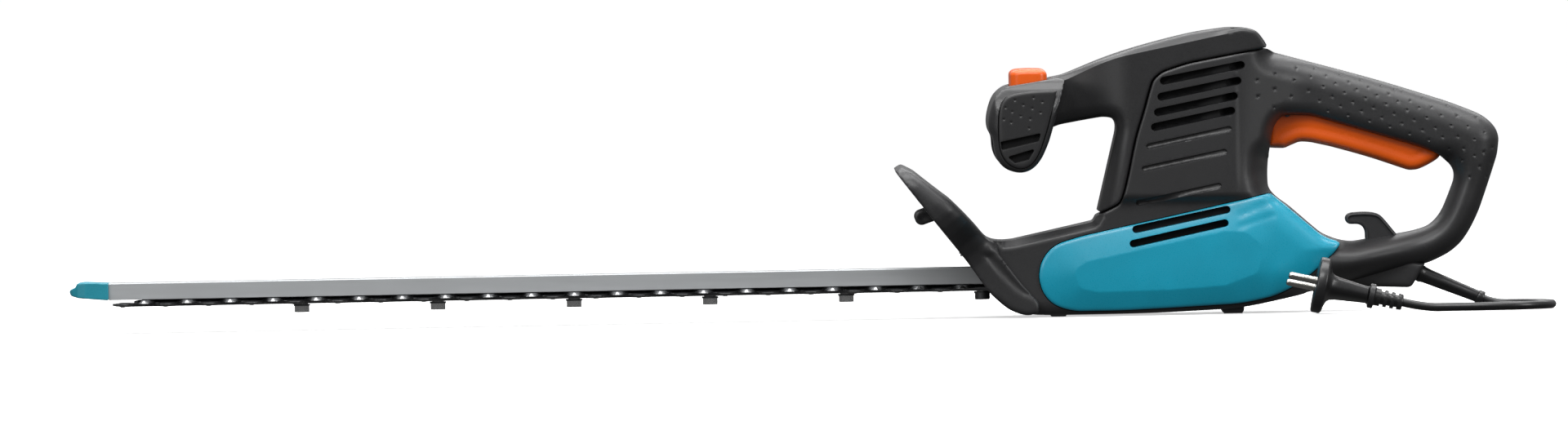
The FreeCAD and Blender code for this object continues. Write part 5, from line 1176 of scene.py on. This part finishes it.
# ------------------------------------------------------------------ turned parts, strain relief, plug
def lathe(name, prof_pts, origin, axis, n=48, up=None, scale_yz=None, bumps=None):
    """prof_pts: (along, radius) mm."""
    ax = Vector(axis).normalized()
    ref = Vector(up) if up else (Vector((0, 0, 1)) if abs(ax.z) < 0.9 else Vector((1, 0, 0)))
    e1 = (ref - ax * ref.dot(ax)).normalized()
    e2 = ax.cross(e1)
    o = Vector(origin)
    verts, faces, rows = [], [], []
    for a, r in prof_pts:
        if r < 1e-6:
            rows.append([len(verts)])
            verts.append((o + ax * a) * 0.001)
        else:
            row = []
            for i in range(n):
                t = 2 * math.pi * i / n
                rr = r if bumps is None else bumps(a, t, r)
                row.append(len(verts))
                verts.append((o + ax * a + e1 * (rr * math.cos(t)) + e2 * (rr * math.sin(t))) * 0.001)
            rows.append(row)
    for A, B in zip(rows[:-1], rows[1:]):
        if len(A) == 1 and len(B) == 1:
            continue
        for i in range(n):
            j = (i + 1) % n
            if len(A) == 1:
                faces.append((A[0], B[j], B[i]))
            elif len(B) == 1:
                faces.append((A[i], A[j], B[0]))
            else:
                faces.append((A[i], A[j], B[j], B[i]))
    ob = new_mesh(name, verts, faces, sharp=38)
    bm = bmesh.new()
    bm.from_mesh(ob.data)
    bmesh.ops.recalc_face_normals(bm, faces=bm.faces)
    bm.to_mesh(ob.data)
    bm.free()
    ob.data.polygons.foreach_set("use_smooth", [True] * len(ob.data.polygons))
    ob.data.set_sharp_from_angle(angle=math.radians(38))
    return ob


a23 = math.radians(23)
L = 46.0
prof_s = [(-10.5, 0), (-10.5, 5.4), (0.2, 5.5), (0.5, 5.75), (2.4, 5.75), (2.8, 5.5)]
for i in range(12):
    xx = 4.0 + i * 3.1
    prof_s += [(xx, 5.5 - 1.5 * xx / L)]
prof_s += [(L - 4.6, 4.05), (L - 4.3, 4.5), (L - 3.8, 4.7), (L - 0.8, 4.7), (L - 0.25, 4.45), (L, 3.9), (L, 0)]


def solid_ribs(a, t, r):
    # lengthwise flutes along the taper
    if a < 3.0 or a > L - 5.0:
        return r
    e = min(1.0, (a - 3.0) / 3.0, (L - 5.0 - a) / 3.0)
    return r - 0.42 * e * (0.5 + 0.5 * math.cos(6 * t)) ** 3


sleeve = lathe("cord_sleeve", prof_s, (419.3, 0, 24.2), (math.cos(a23), 0, -math.sin(a23)), bumps=solid_ribs)
place(sleeve, "rubber", "frame", "strain_relief")

tpin = lathe("lever_pin", [(-11.3, 0), (-11.3, 1.6), (-10.9, 1.98), (10.9, 1.98), (11.3, 1.6), (11.3, 0)], (334, 0, 131), (0, 1, 0), n=32)
place(tpin, "dark", "frame", "trigger_pin")

ROUTE = [(0.46164, 0, 0.00623), (0.46913, 0, 0.00305), (0.48355, -0.00152, 0.00305), (0.50013, -0.01357, 0.00305), (0.50713, -0.03389, 0.00305),
         (0.50085, -0.05445, 0.00305), (0.48367, -0.06739, 0.00305), (0.4603, -0.06985, 0.00305), (0.43636, -0.06818, 0.00305),
         (0.42086, -0.06845, 0.00305), (0.40556, -0.06845, 0.00658)]
cu = bpy.data.curves.new("mains_lead", "CURVE")
cu.dimensions = "3D"
sp = cu.splines.new("NURBS")
sp.points.add(len(ROUTE) - 1)
for p, q in zip(sp.points, ROUTE):
    p.co = (q[0], q[1], q[2], 1)
sp.order_u = 3
sp.use_endpoint_u = True
sp.resolution_u = 14
cu.bevel_depth = 0.0028
cu.bevel_resolution = 8
cu.use_fill_caps = True
lead = bpy.data.objects.new("mains_lead", cu)
scene.collection.objects.link(lead)
cu.materials.append(M["rubber"])
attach(lead, "frame")
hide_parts("mains_cord")


def in_plug(ax, ay, az):
    rot = Matrix.Rotation(math.radians(180), 4, "Z") @ Matrix.Rotation(math.radians(-13), 4, "Y") @ Matrix.Rotation(math.radians(15), 4, "X")
    q = rot @ Vector((ax, ay, az))
    return Vector((405.56 + q.x, -68.45 + q.y, 6.58 + q.z)) * 0.001


def plug_mesh():
    verts, faces = [], []

    def ring(a, ry, rz, pw, n=48):
        row = []
        for i in range(n):
            t = 2 * math.pi * i / n
            c, s_ = math.cos(t), math.sin(t)
            k = (abs(c) ** pw + abs(s_) ** pw) ** (-1 / pw)
            row.append(len(verts))
            verts.append(in_plug(a, ry * k * c, rz * k * s_))
        return row

    rows = []
    spec = [(0, 4.4, 4.4, 2), (0.25, 4.9, 4.9, 2), (0.8, 5.2, 5.2, 2)]
    for k in range(3):
        b = 3.4 + 4.6 * k
        r = 5.3 + 0.6 * b / 18.4
        spec += [(b - 0.05, r, r, 2), (b + 0.15, r, r - 1.4, 2), (b + 2.05, r, r - 1.4, 2), (b + 2.25, r, r, 2)]
    spec += [(18.3, 5.9, 5.9, 2), (18.7, 6.2, 6.2, 2), (19.0, 7.7, 7.7, 2), (19.4, 8.15, 8.15, 2), (22.1, 8.15, 8.15, 2), (22.6, 7.8, 7.8, 2), (22.9, 6.6, 6.2, 2.2),
             (24.0, 8.2, 5.1, 2.6), (30.0, 9.4, 5.5, 2.8), (38.0, 10.9, 6.1, 3.0), (44.0, 11.8, 6.7, 3.0), (47.5, 12.6, 7.6, 2.8), (49.4, 13.8, 9.6, 2.4), (50.6, 15.6, 13.2, 2.1), (51.4, 17.6, 16.8, 2),
             (52.2, 18.3, 18.2, 2), (52.8, 18.5, 18.5, 2), (57.2, 18.5, 18.5, 2), (57.9, 18.1, 18.1, 2), (58.4, 17.2, 17.2, 2), (58.4, 12.5, 6.5, 2.6), (58.1, 12.2, 6.2, 2.6), (58.1, 5, 3, 2)]
    for a, ry, rz, pw in spec:
        rows.append(ring(a, ry, rz, pw))
    n = 48
    for A, B in zip(rows[:-1], rows[1:]):
        for i in range(n):
            faces.append((A[i], A[(i + 1) % n], B[(i + 1) % n], B[i]))
    faces.append(tuple(rows[0][::-1]))
    faces.append(tuple(rows[-1]))
    ob = new_mesh("plug_shell", verts, faces, sharp=32)
    bm = bmesh.new()
    bm.from_mesh(ob.data)
    bmesh.ops.recalc_face_normals(bm, faces=bm.faces)
    bm.to_mesh(ob.data)
    bm.free()
    ob.data.set_sharp_from_angle(angle=math.radians(32))
    return ob


plug = plug_mesh()
place(plug, "plug", "frame", "plug_body", slot="cord_rubber")
o0, ox, oy, oz = in_plug(0, 0, 0), in_plug(1, 0, 0), in_plug(0, 1, 0), in_plug(0, 0, 1)
pins = []
pv, pf = [], []
for s in (-1, 1):
    spec = [(58.0, 2.75), (58.9, 2.75), (59.0, 2.4), (66.5, 2.4), (66.6, 2.28), (67.0, 2.28), (67.1, 2.4), (75.2, 2.4), (76.4, 2.15), (77.0, 1.7), (77.35, 1.0)]
    rows = []
    for a, r in spec:
        row = []
        for i in range(28):
            t = 2 * math.pi * i / 28
            row.append(len(pv))
            pv.append(in_plug(a, s * 9.5 + r * math.cos(t), r * math.sin(t)))
        rows.append(row)
    for A, B in zip(rows[:-1], rows[1:]):
        for i in range(28):
            pf.append((A[i], A[(i + 1) % 28], B[(i + 1) % 28], B[i]))
    pf.append(tuple(rows[0][::-1]))
    pf.append(tuple(rows[-1]))
pn = new_mesh("plug_contacts", pv, pf)
place(pn, "nickel", "frame", "plug_pins")

# ------------------------------------------------------------------ floor, light, camera
flo = new_mesh("studio_floor", [(-90, -90, 0), (90, -90, 0), (90, 90, 0), (-90, 90, 0)], [(0, 1, 2, 3)], smooth=False)
fm = bpy.data.materials.new("pale_floor")
fm.use_nodes = True
fb = fm.node_tree.nodes["Principled BSDF"]
fb.inputs["Base Color"].default_value = (0.86, 0.86, 0.86, 1)
fb.inputs["Roughness"].default_value = 0.8
fb.inputs["Specular IOR Level"].default_value = 0.2
fb.inputs["Emission Color"].default_value = (1, 1, 1, 1)
fb.inputs["Emission Strength"].default_value = 0.55
flo.data.materials.append(fm)

world = bpy.data.worlds.new("studio")
world.use_nodes = True
wn = world.node_tree
bg = wn.nodes["Background"]
tcw = wn.nodes.new("ShaderNodeTexCoord")
sep = wn.nodes.new("ShaderNodeSeparateXYZ")
wr = wn.nodes.new("ShaderNodeValToRGB")
wr.color_ramp.elements[0].position = 0.42
wr.color_ramp.elements[0].color = (0.10, 0.10, 0.10, 1)
wr.color_ramp.elements[1].position = 0.95
wr.color_ramp.elements[1].color = (0.75, 0.75, 0.76, 1)
half_z = wn.nodes.new("ShaderNodeMapRange")
half_z.inputs["From Min"].default_value = -1.0
half_z.inputs["From Max"].default_value = 1.0
wn.links.new(tcw.outputs["Generated"], sep.inputs[0])
wn.links.new(sep.outputs["Z"], half_z.inputs["Value"])
wn.links.new(half_z.outputs[0], wr.inputs[0])
wn.links.new(wr.outputs[0], bg.inputs[0])
bg.inputs[1].default_value = 0.9
scene.world = world
flo.visible_diffuse = False
flo.visible_glossy = False


def softbox(name, loc, aim, w, h, power):
    li = bpy.data.lights.new(name, "AREA")
    li.shape = "RECTANGLE"
    li.size, li.size_y = w, h
    li.energy = power
    ob = bpy.data.objects.new(name, li)
    ob.location = loc
    ob.rotation_euler = (Vector(aim) - Vector(loc)).to_track_quat("-Z", "Y").to_euler()
    ob.visible_camera = False
    scene.collection.objects.link(ob)
    return ob


softbox("top", (0.15, 0.05, 1.5), (0.15, 0.0, 0.05), 2.4, 0.9, 33)
softbox("top_front", (-0.1, -1.6, 1.7), (0.1, 0.0, 0.08), 1.6, 0.7, 30)
softbox("front_left", (-1.7, -2.2, 0.9), (0.1, 0, 0.08), 1.0, 1.0, 14)
softbox("right", (2.3, -1.3, 0.8), (0.3, 0, 0.1), 0.6, 1.2, 16)
softbox("back_rim", (0.3, 1.2, 1.0), (0.3, 0, 0.1), 2.0, 0.4, 9)

el, roll = math.radians(1.2), math.radians(1.08)
d = Vector((0, math.cos(el), -math.sin(el)))
r0, u0 = Vector((1, 0, 0)), Vector((0, math.sin(el), math.cos(el)))
right = r0 * math.cos(roll) - u0 * math.sin(roll)
upv = r0 * math.sin(roll) + u0 * math.cos(roll)
target = Vector((0.0003, 0.0, 0.0673))
loc = target - d * 10.368
cam = bpy.data.cameras.new("view")
cam.lens = 360
cam.sensor_width = 36
cam.clip_end = 400
co = bpy.data.objects.new("view", cam)
rot = Matrix((right, upv, -d)).transposed().to_4x4()
co.matrix_world = Matrix.Translation(loc) @ rot
scene.collection.objects.link(co)
scene.camera = co
scene.view_settings.view_transform = "Standard"
